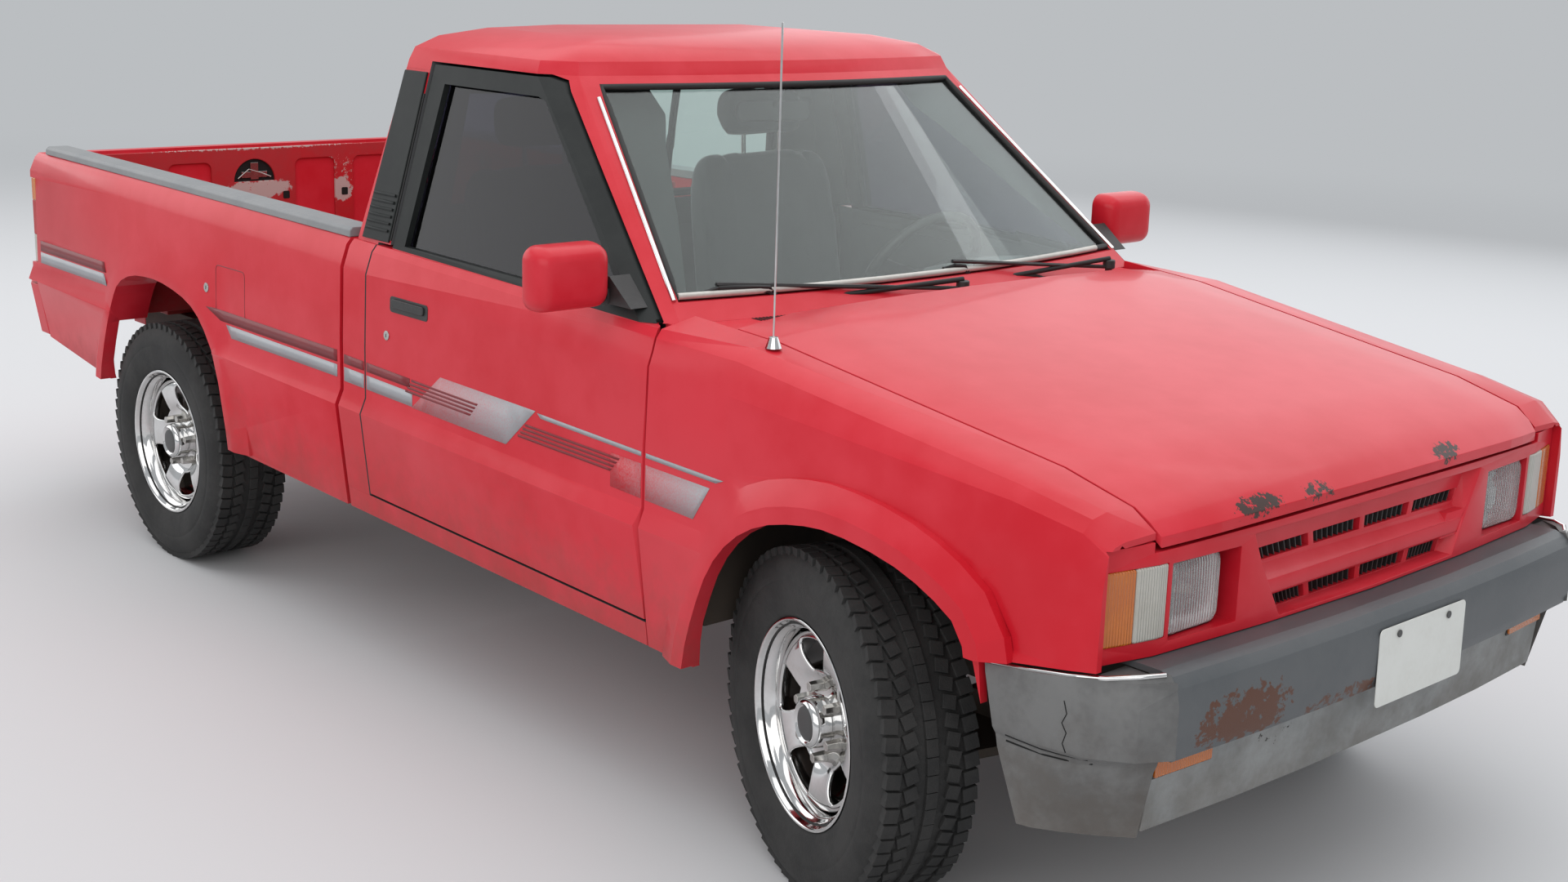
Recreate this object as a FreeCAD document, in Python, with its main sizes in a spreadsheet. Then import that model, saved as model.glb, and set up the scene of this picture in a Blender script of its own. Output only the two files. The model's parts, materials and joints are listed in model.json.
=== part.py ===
"""Compact pickup truck with a regular cab and a short bed, as separate pieces.

Row frame: nose towards -Y, the truck's left side towards +X, +Z up, the floor at Z = 0,
origin under the middle of the truck's length and width. Millimetres.
A "station" is a distance rearwards from the front axle.
"""
import FreeCAD
import Part
import math
import os
from types import SimpleNamespace

from FreeCAD import Placement, Rotation, Vector

# %% Driving dimensions, kept in a spreadsheet whose cells have these aliases

SIZES = [
    ("wheelbase", 2761, "front axle to rear axle"),
    ("front_overhang", 768, "front axle to the bumper's face"),
    ("rear_overhang", 929, "rear axle to the rear panel"),
    ("track", 1410, "tyre centre to tyre centre"),
    ("tyre_radius", 345, "unloaded tyre radius"),
    ("tyre_width", 220, "tyre section width"),
    ("rim_radius", 206, "radius of the rim's outer lip"),
    ("rim_width", 196, "rim width between the outer faces of its lips"),
    ("rim_metal", 6, "thickness of the wheel's steel"),
    ("disc_offset", 42, "wheel disc's mounting face, outboard of the tyre's centre"),
    ("window_count", 5, "openings in each wheel disc"),
    ("kingpin_inset", 65, "steering axis, inboard of the tyre's centre"),
    ("steer_rest", 16.2, "angle at which the front wheels are turned, as parked"),
    ("hub_gap", 0.3, "running gap between a hub and its wheel"),
    ("rail_height", 120, "height of the frame rails"),
    ("rail_width", 60, "width of the frame rails"),
    ("rail_top_front", 480, "top of the frame rails under the cab"),
    ("rail_top_rear", 600, "top of the frame rails under the bed"),
    ("rail_inner_front", 312, "inner face of the rails, beside the engine"),
    ("rail_inner_rear", 420, "inner face of the rails, under the bed"),
    ("door_front", 512, "station of the doors' front edge"),
    ("door_rear", 1600, "station of the doors' rear edge"),
    ("cab_rear", 1707, "station of the cab's rear face"),
    ("bed_gap", 16, "gap between cab and bed"),
    ("bed_rear", 3625, "station of the bed's rear face"),
    ("panel_gap", 6, "gap round doors, hood and tailgate"),
    ("skin", 18, "depth of a body panel with its inner stiffening"),
    ("door_inner", 750, "half-width at the doors' inner face"),
    ("door_bottom", 432, "height of the doors' lower edge at the front"),
    ("hinge_offset", 804, "half-width at the door hinges"),
    ("hinge_setback", 44, "door hinge axis, behind the door's front edge"),
    ("pillar_wall", 38, "thickness of the greenhouse walls"),
    ("roof_wall", 30, "thickness of the roof with its lining"),
    ("glass", 5, "thickness of the window glass"),
    ("hood_wall", 20, "thickness of the hood with its inner frame"),
    ("bed_inner", 715, "half-width of the load space"),
    ("bed_floor_top", 675, "height of the load floor"),
    ("bed_floor_depth", 20, "depth of the load floor's ribs"),
    ("cap_depth", 25, "depth of the caps on the bed's rails"),
    ("tail_post", 130, "width of the body each side of the tailgate"),
    ("tailgate_wall", 40, "thickness of the tailgate"),
    ("hitch_hole_radius", 6.5, "bolt holes in the rear crossmember"),
    ("hitch_spacing_x", 200, "distance across between the rear crossmember's bolt holes"),
    ("hitch_spacing_z", 60, "distance up between the rear crossmember's bolt holes"),
    ("plate_hole_radius", 3.5, "screw holes for the number plate"),
    ("plate_spacing", 178, "distance between the number plate's screws"),
    ("plate_offset", 46, "number plate's centre, left of the truck's centre"),
]

doc = FreeCAD.newDocument("pickup_truck")
sheet = doc.addObject("Spreadsheet::Sheet", "Sizes")
for row, (alias, value, note) in enumerate(SIZES, start=1):
    sheet.set(f"A{row}", alias)
    sheet.set(f"B{row}", str(value))
    sheet.setAlias(f"B{row}", alias)
    sheet.set(f"C{row}", note)
doc.recompute()
d = SimpleNamespace(**{alias: float(sheet.get(alias)) for alias, _, _ in SIZES})

AXLE_Y = d.front_overhang - (d.front_overhang + d.wheelbase + d.rear_overhang) / 2
REAR_AXLE = d.wheelbase
BED_FRONT = d.cab_rear + d.bed_gap
STRETCH = d.wheelbase - 2761
BED_REAR = d.bed_rear + STRETCH
TAIL = d.wheelbase + d.rear_overhang
DOOR_REAR = d.door_rear
SIDES = (("right", -1), ("left", 1))


def row_y(station):
    """Y in the row frame of a distance behind the front axle."""
    return AXLE_Y + station


def point(x, station, z):
    return Vector(x, row_y(station), z)


# %% The body side, as half-width and height of each of its lines at each station

LINES = ("top", "shoulder", "crease", "middle", "ledge", "crest", "sill")
SIDE_TABLE = [
    # station, then (half-width, height) of: top, shoulder, crease, middle, ledge, crest, sill
    (-648, (726, 867), (752, 862), (767, 848), (776, 790), (779, 646), (790, 610), (776, 480)),
    (-600, (722, 909), (758, 902), (780, 882), (787, 792), (788, 649), (800, 611), (782, 470)),
    (-452, (730, 941), (769, 930), (791, 906), (798, 795), (800, 652), (814, 614), (790, 352)),
    (262, (752, 1042), (793, 1020), (812, 954), (819, 800), (821, 668), (836, 630), (806, 368)),
    (512, (784, 1043), (796, 1025), (814, 968), (821, 803), (822, 673), (837, 635), (806, 373)),
    (1715, (784, 1072), (797, 1056), (815, 1003), (821, 822), (822, 699), (838, 661), (808, 399)),
    (2300, (784, 1081), (797, 1066), (815, 1015), (821, 826), (822, 712), (838, 674), (808, 411)),
    (3000, (784, 1088), (796, 1074), (814, 1029), (821, 833), (822, 727), (838, 689), (806, 452)),
    (3700, (782, 1095), (795, 1083), (813, 1043), (819, 840), (821, 742), (836, 704), (804, 540)),
]


def station_shift(station):
    """Stations behind the bed's front move with the rear axle."""
    return station + STRETCH if station > 2000 else station


def side_line(name, station):
    """Half-width and height of one line of the body side, straight between the table's stations."""
    column = LINES.index(name) + 1
    rows = [(station_shift(row[0]), row[column]) for row in SIDE_TABLE]
    for (s0, low), (s1, high) in zip(rows, rows[1:]):
        if station <= s1 or s1 == rows[-1][0]:
            share = (station - s0) / (s1 - s0)
            return tuple(a + (b - a) * share for a, b in zip(low, high))


def stations_between(first, last):
    inner = [station_shift(row[0]) for row in SIDE_TABLE]
    return [first] + [s for s in inner if first + 1 < s < last - 1] + [last]


# %% Small makers for faces, prisms and lofts

def wire(points):
    return Part.makePolygon(list(points) + [points[0]])


def prism(points, direction):
    return Part.Face(wire(points)).extrude(direction)


def side_prism(outline, x0, x1):
    """Prism across the truck of an outline of (station, height)."""
    return prism([point(x0, s, z) for s, z in outline], Vector(x1 - x0, 0, 0))


def plan_prism(outline, z0, z1):
    """Upright prism of an outline of (half-width, station)."""
    return prism([point(x, s, z0) for x, s in outline], Vector(0, 0, z1 - z0))


def front_prism(outline, s0, s1):
    """Prism along the truck of an outline of (half-width, height)."""
    return prism([point(x, s0, z) for x, z in outline], Vector(0, s1 - s0, 0))


def block(x0, x1, s0, s1, z0, z1):
    return Part.makeBox(x1 - x0, s1 - s0, z1 - z0, point(x0, s0, z0))


def facets(a, b):
    """Faces of the strip between two closed outlines with as many points: flat, or two triangles."""
    faces = []
    count = len(a)
    for i in range(count):
        k = (i + 1) % count
        corners = []
        for corner in (a[i], a[k], b[k], b[i]):
            if not corners or all((corner - other).Length > 1e-6 for other in corners):
                corners.append(corner)
        if len(corners) < 3:
            continue
        if len(corners) == 4:
            normal = (corners[1] - corners[0]).cross(corners[2] - corners[0])
            off = abs((corners[3] - corners[0]).dot(normal)) / max(normal.Length, 1e-9)
            if off > 1e-5:
                faces.append(Part.Face(wire([corners[0], corners[1], corners[2]])))
                faces.append(Part.Face(wire([corners[0], corners[2], corners[3]])))
                continue
        faces.append(Part.Face(wire(corners)))
    return faces


def solid_of(faces):
    shell = Part.Shell(faces)
    shell.sewShape()
    body = Part.Solid(shell)
    if body.Volume < 0:
        body.reverse()
    return body


def ruled(sections):
    """Solid through flat closed outlines of points, straight from each to the next."""
    faces = [Part.Face(wire(sections[0])), Part.Face(wire(sections[-1]))]
    for a, b in zip(sections, sections[1:]):
        faces += facets(a, b)
    return solid_of(faces)


def turned(outline, sides):
    """Ring of flat sides about the X axis, from an outline of (along the axis, radius)."""
    sections = []
    for step in range(sides):
        angle = 2 * math.pi * step / sides
        sections.append([Vector(a, -r * math.sin(angle), r * math.cos(angle)) for a, r in outline])
    faces = []
    for a, b in zip(sections, sections[1:] + sections[:1]):
        faces += facets(a, b)
    return solid_of(faces)


def round_bar(start, end, radius, sides=12, end_radius=None):
    """Straight bar with flat sides between two points."""
    length = (end - start).Length
    last = radius if end_radius is None else end_radius
    bar = turned([(0, 0), (0, radius), (length, last), (length, 0)], sides)
    bar.Placement = Placement(start, Rotation(Vector(1, 0, 0), end - start))
    return bar


def mirrored(shape):
    return shape.mirror(Vector(0, 0, 0), Vector(1, 0, 0))


def both_sides(shape):
    return Part.makeCompound([shape, mirrored(shape)])


def joined(shapes):
    first, rest = shapes[0], shapes[1:]
    return first.fuse(rest).removeSplitter() if rest else first


def pin(start, end, radius):
    """Truly round bar, for what turns."""
    return Part.makeCylinder(radius, (end - start).Length, start, end - start)


def feature(name, shape):
    """Sub-part whose shape comes from the functions here, which read the sheet."""
    if shape.ShapeType == "Compound" and len(shape.Solids) == 1:
        shape = shape.Solids[0]
    item = doc.addObject("Part::Feature", name)
    item.Shape = shape
    item.Label = name
    subparts.append(item)
    return item


subparts = []

# %% Frame rails: a lofted box section that kicks up over the rear axle

RAIL_STATIONS = [
    # station, inner half-width, height of the top
    (-600, d.rail_inner_front, d.rail_top_front),
    (480, d.rail_inner_front, d.rail_top_front),
    (900, d.rail_inner_rear, d.rail_top_front),
    (1740, d.rail_inner_rear, d.rail_top_front),
    (REAR_AXLE - 560, d.rail_inner_rear, d.rail_top_rear),
    (BED_REAR - 40, d.rail_inner_rear, d.rail_top_rear),
]


def rail(side):
    sections = []
    for s, inner, top in RAIL_STATIONS:
        bottom = top - d.rail_height
        corners = [(inner, bottom), (inner + d.rail_width, bottom), (inner + d.rail_width, top), (inner, top)]
        sections.append([point(side * x, s, z) for x, z in corners])
    return ruled(sections)


for side_name, side in SIDES:
    feature(f"frame_rail_{side_name}", rail(side))


def crossmembers():
    """Crossmembers between the rails; the last one carries a bolt pattern."""
    places = [
        # station, depth along the truck, drop of its top below the rail's top, inner half-width, rail top
        (-560, 60, 30, d.rail_inner_front, d.rail_top_front),
        (-60, 120, 60, d.rail_inner_front, d.rail_top_front),
        (1150, 60, 95, d.rail_inner_rear, d.rail_top_front),
        (REAR_AXLE - 520, 50, 30, d.rail_inner_rear, d.rail_top_rear),
        (REAR_AXLE + 480, 50, 30, d.rail_inner_rear, d.rail_top_rear),
    ]
    bars = [block(-w, w, s, s + depth, top - drop - 50, top - drop) for s, depth, drop, w, top in places]
    middle_z = d.rail_top_rear - d.rail_height / 2
    face = BED_REAR - 50
    end = block(-d.rail_inner_rear, d.rail_inner_rear, face - 10, face, middle_z - 55, middle_z + 55)
    for across in (-1, 1):
        for up in (-1, 1):
            start = point(across * d.hitch_spacing_x / 2, face - 20, middle_z + up * d.hitch_spacing_z / 2)
            end = end.cut(Part.makeCylinder(d.hitch_hole_radius, 40, start, Vector(0, 1, 0)))
    return Part.makeCompound(bars + [end])


feature("frame_crossmembers", crossmembers())

# %% Engine and gearbox: one plain block each, bound to the sheet


def bound_box(name, x, y, z, length, width, height):
    """Part::Box whose place and size are formulas on the sheet."""
    box = doc.addObject("Part::Box", name)
    box.Label = name
    for path, formula in (("Length", length), ("Width", width), ("Height", height), ("Placement.Base.x", x),
                          ("Placement.Base.y", y), ("Placement.Base.z", z)):
        box.setExpression(path, formula)
    subparts.append(box)
    return box


FRONT_AXLE_FORMULA = "(Sizes.front_overhang - Sizes.wheelbase - Sizes.rear_overhang) / 2"
bound_box("engine_block", "-Sizes.rail_inner_front + 72", f"{FRONT_AXLE_FORMULA} - 330",
          "Sizes.rail_top_front - 60", "2 * Sizes.rail_inner_front - 144", "590", "420")
bound_box("gearbox", "-110", f"{FRONT_AXLE_FORMULA} + 260", "Sizes.rail_top_front - 140", "220", "620", "230")
bound_box("fuel_tank", "-Sizes.rail_inner_rear", f"{FRONT_AXLE_FORMULA} + 1800",
          "Sizes.rail_top_front - 130", "300", "400", "170")

# %% Cab: floor with sills, firewall and cowl, rear wall, greenhouse


def side_slab(first, last, inner_points, lines=LINES):
    """Solid between the body side's lines and an inner outline, from one station to another.

    inner_points gives the inner outline's points, bottom first, for a station.
    """
    sections = []
    for s in stations_between(first, last):
        outer = [side_line(name, s) for name in lines]
        sections.append([point(x, s, z) for x, z in outer + inner_points(s)])
    return ruled(sections)


def door_bottom(station):
    return d.door_bottom + 0.0216 * (station - d.door_front)


def thick_inner(station):
    """Inner outline of a full-thickness wall such as a door: a flat inner face."""
    return [(d.door_inner, side_line("sill", station)[1]), (d.door_inner, side_line("top", station)[1])]


FLOOR_Z = d.rail_top_front
FLOOR_WALL = 8
TUNNEL_HALF = 135
TUNNEL_TOP = 625
SILL_INNER = d.door_inner - 40
FIREWALL = d.door_front - 42
HINGE_STATION = d.door_front + d.hinge_setback
HINGE_SWEEP = d.hinge_setback + 1
BACK_WALL = 40


def hinge_cylinder(radius, z0=300, z1=1200):
    """Upright cylinder round the left door's hinge axis."""
    x, s = d.hinge_offset, HINGE_STATION
    return round_bar(point(x, s, z0), point(x, s, z1), radius, 24)


def cab_floor():
    front, rear = FIREWALL, d.cab_rear - BACK_WALL
    floor = block(-SILL_INNER, SILL_INNER, front, rear, FLOOR_Z, FLOOR_Z + FLOOR_WALL)
    floor = floor.cut(block(-TUNNEL_HALF, TUNNEL_HALF, front, rear, FLOOR_Z - 1, FLOOR_Z + FLOOR_WALL + 1))
    tunnel = block(-TUNNEL_HALF - FLOOR_WALL, TUNNEL_HALF + FLOOR_WALL, front, rear, FLOOR_Z,
                   TUNNEL_TOP + FLOOR_WALL)
    tunnel = tunnel.cut(block(-TUNNEL_HALF, TUNNEL_HALF, front, rear, FLOOR_Z - 1, TUNNEL_TOP))

    def rocker_inner(s):
        return [(SILL_INNER, side_line("sill", s)[1]), (SILL_INNER, side_line("top", s)[1])]

    rocker = side_slab(d.door_front - d.panel_gap / 2, d.cab_rear, rocker_inner)
    gap = d.panel_gap
    lower = [(0, door_bottom(0) - gap), (2000, door_bottom(2000) - gap)]
    keep = side_prism([(0, 0), (2000, 0), *lower[::-1]], 0, 1000)
    rocker = rocker.common(keep)
    upstand = block(SILL_INNER, d.door_inner - gap, front, d.cab_rear - BACK_WALL, FLOOR_Z - 60, FLOOR_Z + 10)
    return joined([floor, tunnel, rocker, mirrored(rocker), upstand, mirrored(upstand)])


feature("cab_floor", cab_floor())

HOOD_REAR = 386
HOOD_REAR_EDGE_Z = 1053
HOOD_AXIS = (HOOD_REAR - 8, HOOD_REAR_EDGE_Z - 2)
HOOD_BARREL = 22
HOOD_HINGE_X = (590, 630)
COWL_FRONT = HOOD_REAR + 10
BELT_Z = 1045
COWL_TOP = BELT_Z
COWL_DEPTH = 60
FENDER_REAR = d.door_front - d.panel_gap
DOOR_LUGS = (530, 850)
LUG_HEIGHT = 35
LUG_RADIUS = 8


def door_lugs(clearance=0, sweep=False):
    """Left door's hinge lugs, or the notches in the door that take them and let it turn."""
    lugs = []
    x, s = d.hinge_offset, HINGE_STATION
    for z in DOOR_LUGS:
        low, high = z - clearance, z + LUG_HEIGHT + clearance
        radius = LUG_RADIUS + clearance
        lugs.append(pin(point(x, s, low), point(x, s, high), radius))
        if sweep:
            lugs.append(block(SILL_INNER - 20, x + radius, s - 80, s + radius, low, high))
        else:
            lugs.append(block(d.door_inner - d.panel_gap, x, s - LUG_RADIUS, s + LUG_RADIUS, low, high))
    return lugs


HOOD_EDGE = [
    # station, half-width of the gap beside the hood, height of the edge, crown across,
    # bow forward in the middle
    (-653, 640, 863, 10, 29),
    (-632, 646, 884, 12, 22),
    (-600, 650, 905, 16, 12),
    (-452, 656, 943, 21, 0),
    (262, 683, 1045, 27, 0),
    (HOOD_REAR, 688, HOOD_REAR_EDGE_Z, 25, 0),
]
HOOD_PROFILE = [
    # share of the half-width, share of the crown: a flatter middle inside two soft creases
    (-1, 0), (-0.88, 0.42), (-0.78, 0.70), (-0.4, 0.93), (0, 1),
    (0.4, 0.93), (0.78, 0.70), (0.88, 0.42), (1, 0),
]


def hood_edge(station):
    rows = HOOD_EDGE
    for (s0, x0, z0, *_), (s1, x1, z1, *_) in zip(rows, rows[1:]):
        if station <= s1 or s1 == rows[-1][0]:
            share = (station - s0) / (s1 - s0)
            return x0 + (x1 - x0) * share, z0 + (z1 - z0) * share


def hood_barrel(extra=0, longer=0):
    """Round hinge barrel under the left of the hood's rear edge."""
    x0, x1 = HOOD_HINGE_X
    return pin(point(x0 - longer, *HOOD_AXIS), point(x1 + longer, *HOOD_AXIS), HOOD_BARREL + extra)


def cowl_firewall():
    """Firewall, cowl box below the windshield and the two hinge pillars."""
    wall = block(-SILL_INNER, SILL_INNER, FIREWALL - 20, FIREWALL, FLOOR_Z, COWL_TOP - COWL_DEPTH)
    tunnel = block(-TUNNEL_HALF, TUNNEL_HALF, FIREWALL - 30, FIREWALL + 10, FLOOR_Z - 30, TUNNEL_TOP)
    wall = wall.cut(tunnel)
    inner = d.door_inner - d.panel_gap
    narrow = hood_edge(COWL_FRONT)[0] - d.panel_gap
    cowl = block(-narrow, narrow, COWL_FRONT, FENDER_REAR + 2, COWL_TOP - COWL_DEPTH, COWL_TOP)
    wide = block(-inner, inner, FENDER_REAR + 2, d.door_front + 30, COWL_TOP - COWL_DEPTH, COWL_TOP)
    behind, under = HINGE_STATION + 20, COWL_TOP - COWL_DEPTH
    lintel = block(-SILL_INNER, SILL_INNER, d.door_front + 30, behind, under, COWL_TOP)
    pillar = block(SILL_INNER - 10, inner, FENDER_REAR + 2, behind, FLOOR_Z + 10, under)
    solid = joined([wall, cowl, wide, lintel, pillar, mirrored(pillar)])
    sweep = hinge_cylinder(HINGE_SWEEP + d.panel_gap)
    solid = solid.cut(sweep).cut(mirrored(sweep))
    lugs = door_lugs()
    solid = joined([solid] + lugs + [mirrored(lug) for lug in lugs])
    seat_x0, seat_x1 = HOOD_HINGE_X
    seat = block(seat_x0, seat_x1, HOOD_AXIS[0] - 6, COWL_FRONT, COWL_TOP - COWL_DEPTH, HOOD_AXIS[1] - 14)
    seat = seat.cut(hood_barrel(d.hub_gap, 5))
    return joined([solid, seat, mirrored(seat)])


feature("cowl_firewall", cowl_firewall())

# The greenhouse is a ruled form between a plan at the belt and a plan under the roof's edge.
GREENHOUSE_PLANS = [
    # height, side half-width, side front station, corner half-width, corner station, nose station, rear
    (BELT_Z, 785, 575, 727, 515, 440, 1703),
    (1505, 655, 1122, 592, 1052, 985, 1655),
]
ROOF_PLANS = [
    (1505, 655, 1122, 592, 1052, 985, 1655),
    (1535, 641, 1130, 582, 1066, 1003, 1650),
    (1562, 586, 1160, 540, 1105, 1052, 1632),
    (1582, 470, 1215, 430, 1180, 1140, 1595),
    (1592, 300, 1290, 270, 1272, 1252, 1540),
]
EAVES_Z = GREENHOUSE_PLANS[1][0]


BOW_STEPS = 8


def plan_outline(plan, inset=0, drop=0):
    """Plan of the greenhouse at one height; its nose is an arc, here in equal chords."""
    z, side_x, side_s, corner_x, corner_s, nose, rear = plan
    side_x, corner_x, rear = side_x - inset, corner_x - inset * 0.6, rear - inset
    side_s, corner_s, nose = side_s + inset * 0.6, corner_s + inset, nose + inset
    z = z - drop
    bow = []
    for step in range(BOW_STEPS + 1):
        share = 2 * step / BOW_STEPS - 1
        bow.append(point(share * corner_x, nose + (corner_s - nose) * share * share, z))
    corners = [(side_x, side_s), (side_x, rear), (-side_x, rear), (-side_x, side_s)]
    return bow + [point(x, s, z) for x, s in corners]


def greenhouse_solid(inset=0, drop=0):
    plans = [plan_outline(GREENHOUSE_PLANS[0], inset)]
    plans += [plan_outline(plan, inset, drop) for plan in ROOF_PLANS]
    return ruled(plans)


shell = greenhouse_solid().cut(greenhouse_solid(d.pillar_wall, d.roof_wall))
below = block(-900, 900, 300, 2000, 900, BELT_Z + d.roof_wall)
shell = shell.cut(greenhouse_solid(d.pillar_wall).common(below))

DOOR_FRAME = [
    # station, height of the door's upper outline, front edge first
    (d.door_front + 36, BELT_Z - 40), (d.door_front + 36, BELT_Z), (1042, 1468), (1064, 1490), (1098, 1500),
    (1536, 1500), (1540, BELT_Z - 40),
]
DOOR_GLASS = [
    (d.door_front + 118, BELT_Z + 22), (1046, 1430), (1066, 1449), (1098, 1458), (1478, 1458),
    (1490, BELT_Z + 34),
]


def grown(outline, amount):
    """Outline of (station, height) offset outwards."""
    face = Part.Face(wire([Vector(0, s, z) for s, z in outline]))
    edges = face.makeOffset2D(amount, 2).OuterWire.OrderedVertexes
    return [(v.Y, v.Z) for v in edges]


def window_prism(outline):
    return side_prism(outline, 400, 900)


door_hole = window_prism(grown(DOOR_FRAME, d.panel_gap)).fuse(
    block(400, 900, 1530, 1552, BELT_Z - 40, 1506))
WINDSHIELD = [(-701, 1081), (701, 1081), (557, 1484), (-557, 1484)]
REAR_WINDOW = [(-545, 1120), (545, 1120), (500, 1430), (-500, 1430)]
windshield_hole = front_prism(WINDSHIELD, 300, 1300)
rear_hole = front_prism(REAR_WINDOW, 1500, 1800)
B_PILLAR_FRONT = 1552


def roof_and_pillars():
    pillars = shell.cut(door_hole).cut(mirrored(door_hole)).cut(windshield_hole)
    pillars = pillars.cut(block(-900, 900, B_PILLAR_FRONT - 30, 1800, BELT_Z - 200, EAVES_Z - 20))
    sweep = hinge_cylinder(HINGE_SWEEP + d.panel_gap)
    return pillars.cut(sweep).cut(mirrored(sweep))


feature("roof_and_pillars", roof_and_pillars())


def cab_back():
    """Rear wall with its window, and the quarter panels behind the doors."""
    upper = shell.common(block(-900, 900, B_PILLAR_FRONT, 1800, BELT_Z, EAVES_Z - 20)).cut(rear_hole)
    gap = d.panel_gap
    step = side_line("top", DOOR_REAR)[1] + gap
    upper = upper.cut(block(-900, 900, 1500, DOOR_REAR + gap, 900, step))
    quarter = side_slab(DOOR_REAR + gap, d.cab_rear, thick_inner)
    lower = [(0, door_bottom(0) - gap), (2000, door_bottom(2000) - gap)]
    keep = side_prism([*lower, (2000, 1300), (0, 1300)], 0, 1000)
    quarter = quarter.common(keep)
    wall = block(-d.door_inner, d.door_inner, d.cab_rear - BACK_WALL, d.cab_rear, FLOOR_Z, BELT_Z + 20)
    parts = [wall, quarter, mirrored(quarter)] + upper.Solids
    return joined(parts)


feature("cab_back", cab_back())

# %% Doors: full-thickness lower panel and a window frame cut from the greenhouse


DOOR_GLASS_DEPTH = 16
GLASS_SEAT = 0.3


def side_pane(outline, depth, seat=0):
    """Flat pane in the greenhouse's side, at a depth behind its outer face, or the slot that it sits in."""
    low, high = GREENHOUSE_PLANS[0], GREENHOUSE_PLANS[1]
    lean = (low[1] - high[1]) / (high[0] - low[0])
    wall = d.glass + 2 * seat
    edge = grown(outline, seat) if seat else outline
    corners = [point(low[1] - lean * (z - low[0]) - depth + seat, s, z) for s, z in edge]
    return prism(corners, Vector(-wall, 0, -wall * lean))


def door():
    slab = side_slab(d.door_front - 20, DOOR_REAR, thick_inner)
    keep = side_prism([(0, door_bottom(0)), (2000, door_bottom(2000)), (2000, 1300), (0, 1300)], 0, 1000)
    slab = slab.common(keep)
    nose = block(700, 900, 400, HINGE_STATION, 300, 1300).cut(hinge_cylinder(HINGE_SWEEP, 200, 1400))
    frame = shell.common(window_prism(DOOR_FRAME)).cut(window_prism(DOOR_GLASS))
    solid = joined([slab] + frame.Solids).cut(nose).cut(side_pane(DOOR_GLASS, DOOR_GLASS_DEPTH, GLASS_SEAT))
    for notch in door_lugs(d.hub_gap, sweep=True):
        solid = solid.cut(notch)
    return solid


left_door = door()
feature("door_right", mirrored(left_door))
feature("door_left", left_door)


left_glass = side_pane(DOOR_GLASS, DOOR_GLASS_DEPTH)
feature("door_glass_right", mirrored(left_glass))
feature("door_glass_left", left_glass)


def fixed_glass():
    """Windshield and rear window, cut from a thin copy of the greenhouse."""
    outer = ruled([plan_outline(plan, 10) for plan in GREENHOUSE_PLANS])
    pane = outer.cut(ruled([plan_outline(plan, 10 + d.glass) for plan in GREENHOUSE_PLANS]))
    front = pane.common(front_prism(WINDSHIELD, 300, 1300))
    rear = pane.common(front_prism(REAR_WINDOW, 1500, 1800))
    return Part.makeCompound(front.Solids + rear.Solids)


feature("fixed_glass", fixed_glass())

# %% Front end: fenders, hood, engine bay, grille panel, lamps, bumper

def eased(path):
    """Cuts the corners of an open outline, so that it runs round."""
    points = [path[0]]
    for (s0, z0), (s1, z1) in zip(path, path[1:]):
        points.append((s0 * 0.75 + s1 * 0.25, z0 * 0.75 + z1 * 0.25))
        points.append((s0 * 0.25 + s1 * 0.75, z0 * 0.25 + z1 * 0.75))
    points.append(path[-1])
    return points


FRONT_ARCH_CORNERS = [
    # station, height round the front wheel opening
    (-478, 300), (-416, 560), (-392, 668), (-306, 716), (-203, 748), (-60, 765), (34, 756), (135, 730),
    (220, 680), (284, 606), (328, 503), (358, 400), (364, 300),
]
FRONT_ARCH = eased(FRONT_ARCH_CORNERS)


def hood():
    """Lid with a crown, bowed forward at its nose, and a lip as deep as its inner frame."""
    sections = []
    for s, x, z, crown, bow in HOOD_EDGE:
        x = x - d.panel_gap / 2
        top = [point(share * x, s - bow * rise, z + crown * rise) for share, rise in HOOD_PROFILE]
        sections.append((top, [corner - Vector(0, 0, d.hood_wall) for corner in top]))
    faces = []
    for top, low in (sections[0], sections[-1]):
        for i in range(len(top) - 1):
            faces.append(Part.Face(wire([top[i], top[i + 1], low[i + 1], low[i]])))
    rings = [top + low[::-1] for top, low in sections]
    for a, b in zip(rings, rings[1:]):
        faces += facets(a, b)
    lid = solid_of(faces)
    keep = block(-900, 900, HOOD_REAR - 60, HOOD_REAR + 3, 900, HOOD_AXIS[1] - 3)
    barrel = hood_barrel().common(keep)
    return joined([lid, barrel, mirrored(barrel)])


feature("hood", hood())

CAP_TOP = 613
CAP_GAP = 9
CAP_REAR = -420
CAP_LINE = [(-700, 650), (CAP_REAR, CAP_TOP)]
PANEL_FACE = -655
PANEL_BACK = -600
PANEL_HALF = 764
PANEL_EDGE_TOP = 856
FENDER_FRONT = -646


FLARE_X = 837
FLARE_ROOT = 800
FLARE_FACE = 34
FLARE_SLOPE = 84


def flare(path):
    """Raised band round a wheel opening: a flat face beside the edge, then a slope back to the panel."""
    sections = []
    for i, (s, z) in enumerate(path):
        before, after = path[max(i - 1, 0)], path[min(i + 1, len(path) - 1)]
        along = Vector(0, after[0] - before[0], after[1] - before[1]).normalize()
        out = Vector(0, -along.z, along.y)
        start = point(0, s, z)
        profile = [(FLARE_ROOT, 0), (FLARE_X, 0), (FLARE_X, FLARE_FACE), (FLARE_ROOT + 18, FLARE_SLOPE),
                   (FLARE_ROOT, FLARE_SLOPE)]
        sections.append([start + out * reach + Vector(x, 0, 0) for x, reach in profile])
    return ruled(sections)


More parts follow.
